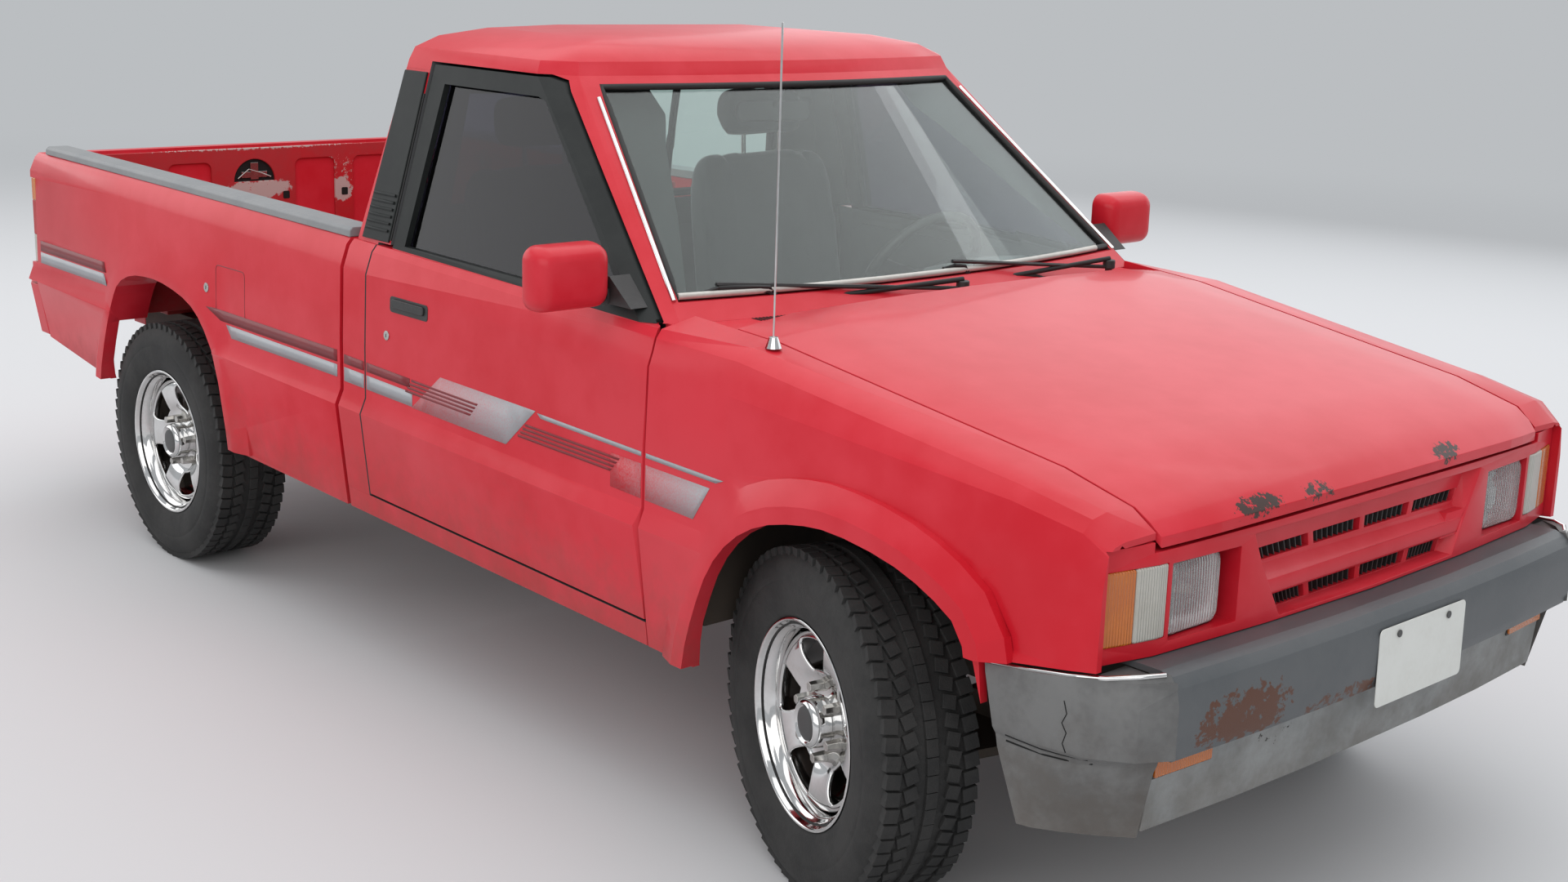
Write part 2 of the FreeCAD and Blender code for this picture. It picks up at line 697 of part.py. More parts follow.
def fender():
    first = FENDER_FRONT

    def inner(s):
        edge_x, edge_z = hood_edge(s)
        edge_x += d.panel_gap / 2
        points = []
        for name in reversed(LINES[1:]):
            x, z = side_line(name, s)
            points.append((x - d.skin, z))
        top_x, top_z = side_line("top", s)
        points.append((top_x - d.skin * 0.6, top_z - d.skin))
        points.append((edge_x, edge_z - d.skin))
        points.append((edge_x, edge_z))
        return points

    panel = side_slab(first, FENDER_REAR, inner)
    band = flare(FRONT_ARCH[2:-1]).cut(block(700, 900, -600, 0, 200, CAP_TOP + CAP_GAP))
    band = band.common(block(700, 900, first, FENDER_REAR, side_line("sill", 500)[1], 1000))
    panel = joined([panel, band])
    panel = panel.cut(side_prism(FRONT_ARCH, 600, 900))
    panel = panel.cut(block(600, PANEL_HALF + 2, -720, PANEL_BACK + d.hub_gap, 300, PANEL_EDGE_TOP + 2))
    line = [(s, z + CAP_GAP) for s, z in CAP_LINE]
    low = [(-720, 200), (CAP_REAR - 14, 200), (CAP_REAR + 1, CAP_TOP), *line[::-1], (-720, line[0][1])]
    panel = panel.cut(side_prism(low, 600, 900))
    panel = panel.cut(hinge_cylinder(HINGE_SWEEP + d.panel_gap))
    return panel


left_fender = fender()
feature("fender_right", mirrored(left_fender))
feature("fender_left", left_fender)

WELL_INNER = 404
WELL_TOP = 770


def engine_bay():
    """Wheel wells, radiator support and the shelves that carry the fenders."""
    wall = d.rim_metal
    well_front, well_rear = -440, 405
    side = block(WELL_INNER - wall, WELL_INNER, -598, FIREWALL - 20, d.rail_top_front + 2, WELL_TOP + 60)
    roof = block(WELL_INNER, 780, well_front, well_rear, WELL_TOP, WELL_TOP + wall)
    front = block(WELL_INNER, 770, well_front - wall, well_front, 430, WELL_TOP + wall)
    rear = block(WELL_INNER, 740, well_rear, well_rear + wall, 430, WELL_TOP + wall)
    shelf_half = hood_edge(-600)[0] - 12
    shelf = block(WELL_INNER, shelf_half, well_front - 120, well_rear, WELL_TOP + 54, WELL_TOP + 60)
    radiator = block(-WELL_INNER, WELL_INNER, PANEL_BACK, -570, d.rail_top_front, 830)
    half = joined([side, roof, front, rear, shelf])
    return joined([half, mirrored(half), radiator])


feature("engine_bay", engine_bay())

LAMP_X, LAMP_Z = 515, 743
LAMP_HALF_X, LAMP_HALF_Z = 90, 69
CORNER_LAMP = (616, 752, 683, 815)
RECESS_DEPTH = 10
RECESS_FACE = [(-306, 660), (306, 660), (412, 836), (-412, 836)]
RECESS_FLOOR = [(-288, 664), (288, 664), (362, 818), (-362, 818)]
BADGE_PAD = [(258, 700), (345, 700), (375, 750), (274, 750)]
PAD_FACE = -669
GRILLE_ROWS = [
    # height of a row of openings, half-width of the row
    (677, 290),
    (775, 338),
]
GRILLE_RIBS = (-172, 0, 172)
SLOT_HALF = 12
RIB_HALF = 8.5
FIN_COUNT = 8
FIN_WALL = 3
FIN_DEPTH = 16


def grille_slots():
    """Openings between the ribs; the outer ends lean outwards towards the top."""
    slots = []
    for z, half in GRILLE_ROWS:
        edges = (-half, *GRILLE_RIBS, half)
        for left, right in zip(edges, edges[1:]):
            a = left + (0 if left == -half else RIB_HALF)
            b = right - (0 if right == half else RIB_HALF)
            lean_a, lean_b = SLOT_HALF * 0.45 * a / half, SLOT_HALF * 0.45 * b / half
            low, high = z - SLOT_HALF, z + SLOT_HALF
            slots.append([(a - lean_a, low), (b - lean_b, low), (b + lean_b, high), (a + lean_a, high)])
    return slots


def grille_panel():
    """Front panel: lamp pockets, and a recess with sloping ends, two rows of openings and a wedge bar."""
    bow = [(-PANEL_HALF, -628), (-640, PANEL_FACE), (-330, -674), (0, -682), (330, -674), (640, PANEL_FACE),
           (PANEL_HALF, -628)]
    plan = plan_prism([(-PANEL_HALF, PANEL_BACK), *bow, (PANEL_HALF, PANEL_BACK)], 600, 900)
    under_hood = [(652, 838), (330, 844), (0, 848), (-330, 844), (-652, 838)]
    edge = [(PANEL_HALF, PANEL_EDGE_TOP - 3), (652, PANEL_EDGE_TOP)]
    outline = [(-PANEL_HALF, 654), (PANEL_HALF, 654), *edge, *under_hood, *[(-x, z) for x, z in edge[::-1]]]
    panel = plan.common(front_prism(outline, -700, PANEL_BACK))
    cuts = []
    x0, x1, z0, z1 = CORNER_LAMP
    for side in (-1, 1):
        cuts.append(block(side * LAMP_X - LAMP_HALF_X, side * LAMP_X + LAMP_HALF_X, -700, PANEL_BACK + 1,
                          LAMP_Z - LAMP_HALF_Z, LAMP_Z + LAMP_HALF_Z))
    corner = block(x0, x1, -700, PANEL_BACK + 20, z0, z1)
    cuts += [corner, mirrored(corner)]
    floor_s = PANEL_FACE + RECESS_DEPTH
    outlines = ((RECESS_FACE, -690), (RECESS_FLOOR, floor_s))
    recess = ruled([[point(x, s, z) for x, z in outline] for outline, s in outlines])
    wedge = side_prism([(floor_s + 2, 757), (-670, 733), (-670, 706), (floor_s + 2, 694)], -360, 360)
    ends = front_prism([(x, z) for x, z in RECESS_FACE], -700, PANEL_BACK)
    pad = front_prism(BADGE_PAD, PAD_FACE, floor_s + 2)
    panel = joined([panel.cut(cuts + [recess]), wedge.common(ends), pad.common(ends)])
    return panel.cut([front_prism(slot, -700, PANEL_BACK + 1) for slot in grille_slots()])


def grille_fins():
    """Thin upright fins in each opening, between its upper and lower edges."""
    fin_front = PANEL_FACE + RECESS_DEPTH + 4
    fins = []
    for (x0, z0), (x1, _), (x2, z1), (x3, _) in grille_slots():
        for step in range(1, FIN_COUNT + 1):
            share = step / (FIN_COUNT + 1)
            low, high = x0 + (x1 - x0) * share, x3 + (x2 - x3) * share
            half = FIN_WALL / 2
            outline = [(low - half, z0), (low + half, z0), (high + half, z1), (high - half, z1)]
            fins.append(front_prism(outline, fin_front, fin_front + FIN_DEPTH))
    return Part.makeCompound(fins)


feature("grille_panel", grille_panel())
feature("grille_fins", grille_fins())


def headlamps():
    lamp = block(LAMP_X - LAMP_HALF_X, LAMP_X + LAMP_HALF_X, PANEL_FACE + 12, PANEL_BACK,
                 LAMP_Z - LAMP_HALF_Z, LAMP_Z + LAMP_HALF_Z)
    return both_sides(lamp)


feature("headlamps", headlamps())


def corner_lamps():
    x0, x1, z0, z1 = CORNER_LAMP
    front = [(x0, -658), (640, -658), (x1 - 45, -645), (x1, -633)]
    lamp = plan_prism([(x0, PANEL_BACK), *front, (x1, PANEL_BACK)], z0, z1)
    return both_sides(lamp)


feature("corner_lamps", corner_lamps())

END_CAP_FRONT = 62
END_CAP_CORNER = 742
BUMPER_HALF = END_CAP_CORNER - END_CAP_FRONT


BUMPER_BOW = [
    # half-width, distance that the bumper curves back there
    (200, 0), (430, 7), (BUMPER_HALF, 22),
]


def bowed(outline, half=BUMPER_HALF):
    """Bar of an outline of (station, height) across the truck, curving back towards its ends."""
    shifts = [(min(x, half), back) for x, back in BUMPER_BOW]
    rows = [(-x, back) for x, back in shifts[::-1]] + shifts
    return ruled([[point(x, s + back, z) for s, z in outline] for x, back in rows])


PLATE_HOLE_Z = 570
BUMPER_OUTER = [
    # station, height round the bar's outer face, from its top edge to its bottom edge
    (-640, 652), (-724, 652), (-745, 645), (-761, 628), (-768, 598), (-768, 524), (-760, 500),
    (-700, 492),
]
BUMPER_INNER = [
    (-640, 641), (-718, 641), (-737, 635), (-750, 620), (-756, 596), (-756, 526), (-751, 511),
    (-700, 503),
]


def front_bumper():
    bar = bowed(BUMPER_OUTER + BUMPER_INNER[::-1])
    bracket = block(d.rail_inner_front, d.rail_inner_front + d.rail_width, -756, -600, 502, 540)
    low = block(d.rail_inner_front, d.rail_inner_front + d.rail_width, -640, -600, d.rail_top_front - 60, 502)
    bracket = bracket.fuse(low)
    solid = joined([bar, bracket, mirrored(bracket)])
    for across in (-1, 1):
        start = point(d.plate_offset + across * d.plate_spacing / 2, -790, PLATE_HOLE_Z)
        solid = solid.cut(pin(start, start + Vector(0, 80, 0), d.plate_hole_radius))
    return solid


feature("front_bumper", front_bumper())


END_CAP_SECTIONS = [
    # height, then the outer plan: (half-width, station) from the bumper's end round to the wheel
    (656, ((BUMPER_HALF, -721), (734, -690), (782, -630), (801, -560), (804, -420))),
    (628, ((BUMPER_HALF, -739), (738, -706), (787, -640), (806, -560), (807, -424))),
    (598, ((BUMPER_HALF, -746), (END_CAP_CORNER, -712), (791, -645), (809, -560), (809, -430))),
    (505, ((BUMPER_HALF, -746), (END_CAP_CORNER, -711), (791, -643), (808, -560), (808, -452))),
    (492, ((BUMPER_HALF, -712), (732, -680), (780, -625), (800, -556), (802, -455))),
    (484, ((BUMPER_HALF, -710), (730, -677), (779, -622), (799, -555), (802, -457))),
    (470, ((BUMPER_HALF, -704), (732, -676), (783, -624), (803, -558), (804, -462))),
    (338, ((BUMPER_HALF - 6, -674), (716, -630), (758, -575), (784, -533), (792, -505))),
]
CAP_WALL = 14
LID_TOP = 639


def end_cap():
    """Plastic corner of the bumper: a wall through its plans, bulged beside the bar and grooved under it."""
    def closed(z, outer):
        inner = [(x - CAP_WALL, s + CAP_WALL) for x, s in outer[1:-1]]
        (first_x, first_s), (last_x, last_s) = outer[0], outer[-1]
        path = [*outer, (last_x - CAP_WALL, last_s), *inner[::-1], (first_x, first_s + CAP_WALL)]
        return [point(x, s, z) for x, s in path]

    wall = ruled([closed(z, outer) for z, outer in END_CAP_SECTIONS])
    plan = [(BUMPER_HALF, -740), (734, -704), (780, -640), (776, -630), (BUMPER_HALF, -630)]
    lid = plan_prism(plan, LID_TOP - 12, LID_TOP)
    return joined([wall, lid])


over = side_prism([*CAP_LINE, (0, CAP_TOP), (0, 700), (-1000, 700), (-1000, CAP_LINE[0][1])], 500, 900)
cap = end_cap().cut(over)
feature("bumper_end_caps", both_sides(cap))


def front_valance():
    """Air dam under the bumper, with a turn lamp sunk at each end."""
    outline = [(-706, 491.6), (-716, 484), (-702, 350), (-692, 350), (-704, 470), (-690, 491.6)]
    return bowed(outline, BUMPER_HALF - 8)


feature("front_valance", front_valance())

# %% Bed: two sides, floor with wheelhouses and front wall, caps, lamps, rear panel, tailgate

REAR_ARCH_CORNERS = [
    (-461, 300), (-461, 409), (-394, 660), (-320, 752), (-245, 797), (-120, 823), (-16, 830), (113, 820),
    (202, 785), (247, 729), (304, 623), (357, 482), (380, 300),
]
REAR_ARCH = eased(REAR_ARCH_CORNERS)
TAILGATE_HALF = side_line("middle", BED_REAR)[0] - d.tail_post
UNDER_FLOOR = d.bed_floor_top - d.bed_floor_depth
LAMP_LOW, LAMP_HIGH = 755, 1020
REAR_PANEL_FRONT = BED_REAR - 65
POST_LENGTH = 70


def tail_post():
    first = TAILGATE_HALF + d.panel_gap
    return block(first, d.bed_inner, BED_REAR - POST_LENGTH, BED_REAR, UNDER_FLOOR, 1080)


RECESS_SLOPE = 12


def sunk(corners, axis, face, depth):
    """Tool for a pressed recess with sloping edges.

    corners are (low, high) pairs along the two axes of the face.
    """
    (a0, a1), (b0, b1) = corners
    rings = []
    for level, inset in ((face - depth, 0), (face, 0), (face + depth, RECESS_SLOPE)):
        ring = []
        for a, b in ((a0 + inset, b0 + inset), (a1 - inset, b0 + inset), (a1 - inset, b1 - inset),
                     (a0 + inset, b1 - inset)):
            ring.append(point(level, a, b) if axis == "x" else point(a, level, b))
        rings.append(ring)
    return ruled(rings)


BED_RECESSES = [
    # first station, last station, low and high height of a pressed panel inside the bed
    (BED_FRONT + 80, REAR_AXLE - 490, 740, 1040),
    (REAR_AXLE - 430, REAR_AXLE + 370, 915, 1040),
    (REAR_AXLE + 430, BED_REAR - 150, 740, 1040),
]
BED_RECESS_DEPTH = 8


def bed_side():
    def inner(s):
        sill_x, sill_z = side_line("sill", s)
        crest_x, crest_z = side_line("crest", s)
        top_x, top_z = side_line("top", s)
        return [(sill_x - d.skin, sill_z), (crest_x - d.skin - 6, UNDER_FLOOR - 40),
                (crest_x - d.skin - 10, UNDER_FLOOR), (d.bed_inner, UNDER_FLOOR), (d.bed_inner, top_z)]

    panel = side_slab(BED_FRONT, BED_REAR, inner)
    arch = [(s + REAR_AXLE, z) for s, z in REAR_ARCH]
    body_edge = [(s, side_line("sill", s)[1]) for s in (BED_FRONT, REAR_AXLE, REAR_AXLE + 400)]
    above = side_prism([*body_edge, (REAR_AXLE + 400, 1000), (BED_FRONT, 1000)], 700, 900)
    panel = joined([panel, flare(arch[1:-1]).common(above)])
    panel = panel.cut(side_prism(arch, 600, 900))
    panel = panel.cut(side_prism([(REAR_PANEL_FRONT, 200), (BED_REAR + 9, 200), (BED_REAR + 9, 700),
                                  (REAR_PANEL_FRONT, 700)], 600, 900))
    pressed = [sunk(((s0, s1), (z0, z1)), "x", d.bed_inner, BED_RECESS_DEPTH)
               for s0, s1, z0, z1 in BED_RECESSES]
    panel = joined([panel.cut(pressed), tail_post()])
    return panel.cut(block(700, 900, BED_REAR - 40, BED_REAR + 50, LAMP_LOW, LAMP_HIGH))


left_bed = bed_side()
feature("bed_side_right", mirrored(left_bed))
feature("bed_side_left", left_bed)

HOUSE_INNER = 525
HOUSE_TOP = 880


def bed_floor():
    wall = d.rim_metal
    floor_rear = BED_REAR - d.tailgate_wall - 2 * d.panel_gap
    floor = block(-d.bed_inner, d.bed_inner, BED_FRONT, floor_rear, UNDER_FLOOR, d.bed_floor_top)
    front = block(-d.bed_inner, d.bed_inner, BED_FRONT, BED_FRONT + 30, UNDER_FLOOR, 1070)
    outline = [(s + REAR_AXLE, z) for s, z in
               [(-440, UNDER_FLOOR), (-360, 790), (-230, HOUSE_TOP), (200, HOUSE_TOP), (300, 800),
                (360, UNDER_FLOOR)]]
    inside = [(s + REAR_AXLE, z) for s, z in
              [(-440 + wall, UNDER_FLOOR - 9), (-355, 786), (-228, HOUSE_TOP - wall), (198, HOUSE_TOP - wall),
               (296, 796), (360 - wall, UNDER_FLOOR - 9)]]
    house = side_prism(outline, HOUSE_INNER, d.bed_inner)
    cavity = side_prism(inside, HOUSE_INNER + wall, d.bed_inner)
    sills = [block(-HOUSE_INNER, HOUSE_INNER, s, s + 60, d.rail_top_rear, UNDER_FLOOR)
             for s in (REAR_AXLE - 500, REAR_AXLE + 20, REAR_AXLE + 560)]
    solid = joined([floor, front, house, mirrored(house)] + sills)
    posts = tail_post()
    return solid.cut([cavity, mirrored(cavity), posts, mirrored(posts)])


feature("bed_floor", bed_floor())


def rail_cap():
    sections = []
    for s in stations_between(BED_FRONT, BED_REAR - 60):
        x, z = side_line("top", s)
        sections.append([point(px, s, pz) for px, pz in
                           [(x + 4, z + 0.3), (x + 2, z + d.cap_depth * 0.7), (x - 6, z + d.cap_depth),
                            (d.bed_inner - 2, z + d.cap_depth), (d.bed_inner - 6, z + 0.3)]])
    return ruled(sections)


feature("rail_caps", both_sides(rail_cap()))


def tail_lamp():
    return plan_prism([(700, BED_REAR - 40), (815, BED_REAR - 40), (815, BED_REAR - 10), (795, BED_REAR + 12),
                       (700, BED_REAR + 15)], LAMP_LOW, LAMP_HIGH)


feature("tail_lamps", both_sides(tail_lamp()))


REAR_PANEL_LEVELS = [
    # height, half-width of the panel there, in line with the bed's side
    (528, 806), (690, 833),
]


def rear_panel():
    front, wall = REAR_PANEL_FRONT, d.skin
    rings = []
    for z, side_x in REAR_PANEL_LEVELS:
        outer = [(side_x, front), (side_x, BED_REAR - 5), (side_x - 21, TAIL - 22), (side_x - 70, TAIL)]
        inner = [(x - wall, s if s == front else s - wall) for x, s in outer]
        half_outer = outer + [(-x, s) for x, s in outer[::-1]]
        half_inner = [(-x, s) for x, s in inner] + inner[::-1]
        rings.append([point(x, s, z) for x, s in half_outer + half_inner])
    ring = ruled(rings)
    bracket = block(d.rail_inner_rear, d.rail_inner_rear + d.rail_width, BED_REAR - 40, TAIL - wall, 520, 580)
    top = block(-600, 600, BED_REAR - 45, TAIL - wall, 640, 655)
    ring = ring.cut(block(-TAILGATE_HALF - 20, TAILGATE_HALF + 20, front, TAIL + 5, 664, 800))
    return joined([ring, bracket, mirrored(bracket), top])


feature("rear_panel", rear_panel())

TAILGATE_PIVOT_Z = 692
TAILGATE_PIVOT = BED_REAR - d.tailgate_wall / 2
PRESS_DEPTH = 7
HANDLE_HALF = 75


def tailgate():
    half, wall = TAILGATE_HALF, d.tailgate_wall
    top = side_line("top", BED_REAR)[1]
    slab = block(-half, half, BED_REAR - wall, BED_REAR, TAILGATE_PIVOT_Z, top)
    reach = half + d.panel_gap - d.hub_gap

    def bar(x, radius):
        start, end = (point(across, TAILGATE_PIVOT, TAILGATE_PIVOT_Z) for across in (-x, x))
        return pin(start, end, radius)

    bead, pins = bar(half, wall / 2), bar(reach, 8)
    pressed = sunk(((-half + 90, half - 90), (TAILGATE_PIVOT_Z + 60, top - 75)), "s", BED_REAR, -PRESS_DEPTH)
    handle_place = block(-HANDLE_HALF, HANDLE_HALF, BED_REAR - 18, BED_REAR + 1, top - 130, top - 80)
    return joined([slab.cut([pressed, handle_place]), bead, pins])


feature("tailgate", tailgate())

# %% Inside the cab

SEAT_X = 355


def seats():
    cushion = [(960, 560), (980, 690), (1010, 720), (1420, 680), (1440, 488), (1000, 488)]
    back = [(1400, 660), (1430, 660), (1560, 1220), (1530, 1260), (1480, 1260), (1370, 740)]
    head = [(1478, 1290), (1545, 1290), (1560, 1420), (1500, 1430)]
    stalk = [(1500, 1250), (1515, 1250), (1524, 1300), (1509, 1300)]
    solids = []
    for outline, half in ((cushion, 205), (back, 200), (head, 130), (stalk, 60)):
        solids.append(side_prism(outline, SEAT_X - half, SEAT_X + half))
    seat = joined(solids)
    return both_sides(seat)


feature("seats", seats())


DASH_DROP = 10


def dashboard():
    low = COWL_TOP - COWL_DEPTH - DASH_DROP
    outline = [(FIREWALL, low), (FIREWALL, 700), (600, 700), (790, 820), (820, 960), (790, 1010),
               (640, 1032), (HINGE_STATION + 21, 1032), (HINGE_STATION + 21, low)]
    body = side_prism(outline, -SILL_INNER + 12, SILL_INNER - 12)
    return body


feature("dashboard", dashboard())

WHEEL_X = 370
COLUMN_SLOPE = 28
COLUMN_START = (790, 925)


WHEEL_RADIUS = 188
WHEEL_GRIP = 13


def steering():
    slope = math.radians(COLUMN_SLOPE)
    direction = Vector(0, math.cos(slope), math.sin(slope))
    start = point(WHEEL_X, *COLUMN_START)
    column = pin(start - direction * 20, start + direction * 110.3, 24).cut(dashboard())
    grip = []
    for step in range(6):
        angle = 2 * math.pi * step / 6
        grip.append((26 + WHEEL_GRIP * math.sin(angle), WHEEL_RADIUS + WHEEL_GRIP * math.cos(angle)))
    parts = [turned(grip, 28), turned([(0, 0), (0, 40), (22, 34), (36, 20), (36, 0)], 16)]
    for angle in (0, 110, 250):
        arm = Part.makeBox(10, 36, WHEEL_RADIUS - 24, Vector(14, -18, 18))
        arm.rotate(Vector(0, 0, 0), Vector(1, 0, 0), angle + 180)
        parts.append(arm)
    steering_wheel = joined(parts)
    up = Vector(0, -math.sin(slope), math.cos(slope))
    across = direction.cross(up)
    turn = Rotation(direction, across.negative(), up, "XYZ")
    steering_wheel.Placement = Placement(start + direction * 111, turn)
    return column.Solids[0], steering_wheel


column, wheel = steering()
feature("steering_column", column)
feature("steering_wheel", wheel)

# %% Trim that shows: mirrors, pillar panels, wipers, aerial


def mirror_unit():
    rear = [(800, 1066), (978, 1062), (985, 1070), (985, 1192), (978, 1200), (806, 1203)]
    front = [(815, 1084), (962, 1080), (968, 1086), (968, 1178), (962, 1184), (820, 1187)]
    sections = ((front, 640), (rear, 668), (rear, 705))
    head = ruled([[point(x, s, z) for x, z in outline] for outline, s in sections])
    foot = side_prism([(585, 1072), (660, 1072), (720, 1085), (740, 1110), (660, 1130)], 740, 800)
    arm = block(786, 830, 660, 700, 1072, 1104)
    return joined([head, foot, arm]).cut(greenhouse_solid(-d.hub_gap))


left_mirror = mirror_unit()


def pillar_trim():
    outline = [(1556, 1080), (1676, 1080), (1655, 1480), (1556, 1480)]
    outer = greenhouse_solid(-6).cut(greenhouse_solid(-0.3))
    return outer.common(window_prism(outline)).cut(block(-900, 900, 1690, 1900, 900, 1600)).Solids[0]


left_trim = pillar_trim()
for side_name, side in SIDES:
    feature(f"mirror_{side_name}", left_mirror if side > 0 else mirrored(left_mirror))
feature("pillar_trims", both_sides(left_trim))


def wipers():
    solids = []
    for pivot_x, tip_x, tip_s, tip_z in ((15, -600, 556, 1110), (560, 60, 503, 1112)):
        pivot = point(pivot_x, 424 + 0.04 * pivot_x, COWL_TOP)
        post = round_bar(pivot, pivot + Vector(0, 0, 26), 9, 10)
        arm = round_bar(pivot + Vector(0, 0, 20), point(tip_x, tip_s, tip_z), 5, 6)
        solids.append(joined([post, arm]))
    return Part.makeCompound(solids)


feature("wipers", wipers())


def aerial():
    x, z = side_line("top", 237)
    edge_x, edge_z = hood_edge(237)
    base = point(-x + 30, 237, z + (edge_z - z) * 30 / (x - edge_x) + 3)
    foot = round_bar(base, base + Vector(0, 0, 22), 17, 12, 9)
    rod = round_bar(base, base + Vector(0, 0, 620), 2.2, 8)
    return joined([foot, rod])


feature("aerial", aerial())

# %% Running gear

TYRE_Z = d.tyre_radius
WHEEL_PLANE = d.track / 2


def tyre_outline():
    half = d.tyre_width / 2
    bead = d.rim_radius - 15
    seat = d.rim_width / 2 - 8
    shoulder = [(half - 6, d.rim_radius + 14), (half, (d.rim_radius + d.tyre_radius) / 2),
                (half - 8, d.tyre_radius - 22), (half - 40, d.tyre_radius)]
    right = [(seat, bead), (seat, d.rim_radius + 2), *shoulder]
    return right + [(-a, r) for a, r in right[::-1]]


def rim_outline():
    half = d.rim_width / 2
    t = d.rim_metal
    lip, bead = d.rim_radius, d.rim_radius - 15.3
    face = d.disc_offset
    dish, bowl = face + t, bead - t - 8
    barrel = [(-half, lip), (-half + t, lip), (-half + t, bead), (half - t, bead), (half - t, lip),
              (half, lip)]
    front = [(half, bead - t), (dish + 30, bowl), (dish + 6, 150), (dish, 90), (dish + 30, 48),
             (dish + 30, 0)]
    return [*barrel, *front, (face, 0), (face, 144), (face + 24, bowl), (-half, bead - t)]


def wheel_placement(front, side):
    """Place of a wheel: the front ones are turned about their kingpins, as parked."""
    if not front:
        return Placement(Vector(side * WHEEL_PLANE, row_y(REAR_AXLE), TYRE_Z), Rotation())
    turn = Rotation(Vector(0, 0, 1), -d.steer_rest)
    kingpin = Vector(side * (WHEEL_PLANE - d.kingpin_inset), row_y(0), TYRE_Z)
    return Placement(kingpin + turn.multVec(Vector(side * d.kingpin_inset, 0, 0)), turn)


WHEELS = [(f"{place}_{side_name}", place == "front", side)
          for place in ("front", "rear") for side_name, side in SIDES]
WHEEL_SIDES = 28


def rim():
    """Steel wheel: turned section with openings cut through its disc."""
    shape = turned(rim_outline(), WHEEL_SIDES)
    window = [(-20, 98), (20, 98), (44, 146), (38, 164), (-38, 164), (-44, 146)]
    openings = []
    for step in range(int(d.window_count)):
        opening = prism([Vector(0, a, b) for a, b in window], Vector(d.rim_width, 0, 0))
        opening.rotate(Vector(0, 0, 0), Vector(1, 0, 0), 360 / d.window_count * step)
        openings.append(opening)
    return shape.cut(openings).removeSplitter()


left_tyre, left_rim = turned(tyre_outline(), WHEEL_SIDES), rim()
for wheel_name, front, side in WHEELS:
    for name, shape in (("tyre", left_tyre), ("rim", left_rim)):
        item = feature(f"{name}_{wheel_name}", shape if side > 0 else mirrored(shape))
        item.Placement = wheel_placement(front, side)

HUB_FACE = WHEEL_PLANE + d.disc_offset - d.hub_gap
HUB_RADIUS = 52
BRAKE_RADIUS = 108
BALL_DROP = 112


def knuckle(side):
    """Upright with its hub, turned about the kingpin."""
    pin = WHEEL_PLANE - d.kingpin_inset
    upright = block(pin - 26, pin + 14, -32, 32, TYRE_Z - BALL_DROP, TYRE_Z + BALL_DROP)
    spindle = round_bar(point(pin, 0, TYRE_Z), point(HUB_FACE, 0, TYRE_Z), HUB_RADIUS, 16)
    disc = round_bar(point(pin + 24, 0, TYRE_Z), point(pin + 46, 0, TYRE_Z), BRAKE_RADIUS, 20)
    shape = joined([upright, spindle, disc])
    if side < 0:
        shape = mirrored(shape)
    shape.rotate(point(side * pin, 0, TYRE_Z), Vector(0, 0, 1), -d.steer_rest)
    return shape


for side_name, side in SIDES:
    feature(f"knuckle_{side_name}", knuckle(side))


def front_suspension():
    """Upper and lower arms on the front crossmember; each ends in a disc under or over the knuckle."""
    pin = WHEEL_PLANE - d.kingpin_inset
    solids = []
    lower_z, upper_z = TYRE_Z - BALL_DROP - 20.3, TYRE_Z + BALL_DROP + 0.3
    roots = ((lower_z, d.rail_inner_front - 40), (upper_z, d.rail_inner_front + d.rail_width))
    for z, root_x in roots:
        outline = [(root_x, -110), (root_x, 110), (root_x + 60, 100), (pin - 20, 26), (pin - 20, -26),
                   (root_x + 60, -100)]
        plate = plan_prism(outline, z, z + 20)
        ball = round_bar(point(pin, 0, z), point(pin, 0, z + 20), 30, 12)
        solids.append(joined([plate, ball]))
    beam = d.rail_inner_front - 41
    low = block(-beam, beam, -90, 90, TYRE_Z - BALL_DROP - 20, TYRE_Z - 60)
    low = low.fuse([block(x - 30, x + 30, -60, 60, TYRE_Z - 60, d.rail_top_front - 110)
                    for x in (-d.rail_inner_front + 71, d.rail_inner_front - 71)])
    arms = solids + [mirrored(shape) for shape in solids]
    return joined(arms + [low, block(-d.rail_inner_front + 39, d.rail_inner_front - 39, -60, 60,
                                     TYRE_Z - BALL_DROP - 20, TYRE_Z - BALL_DROP)])


feature("front_suspension", front_suspension())


def rear_axle():
    def bar(x0, x1, radius, sides):
        return round_bar(point(x0, REAR_AXLE, TYRE_Z), point(x1, REAR_AXLE, TYRE_Z), radius, sides)

    tube = bar(-WHEEL_PLANE + 60, WHEEL_PLANE - 60, 38, 12)
    case = bar(-85, 85, 125, 20)
    drum = bar(WHEEL_PLANE - 60, WHEEL_PLANE - 10, 135, 20)
    hub = bar(WHEEL_PLANE - 20, HUB_FACE, HUB_RADIUS, 16)
    nose = round_bar(point(0, REAR_AXLE - 110, TYRE_Z), point(0, REAR_AXLE - 200, TYRE_Z), 80, 16, 55)
    return joined([tube, case, nose, drum, mirrored(drum), hub, mirrored(hub)])


feature("rear_axle", rear_axle())


def leaf_springs():
    x0 = d.rail_inner_rear
    x1 = x0 + d.rail_width
    top = TYRE_Z + 38.3
    outline = [(-520, 462), (-500, 470), (-60, top + 26), (60, top + 26), (500, 470), (520, 462),
               (60, top), (-60, top)]
    leaf = side_prism([(REAR_AXLE + s, z) for s, z in outline], x0, x1)
    hangers = [block(x0, x1, REAR_AXLE + s - 25, REAR_AXLE + s + 25, 455, 480) for s in (-505, 505)]
    return both_sides(joined([leaf] + hangers))


feature("leaf_springs", leaf_springs())


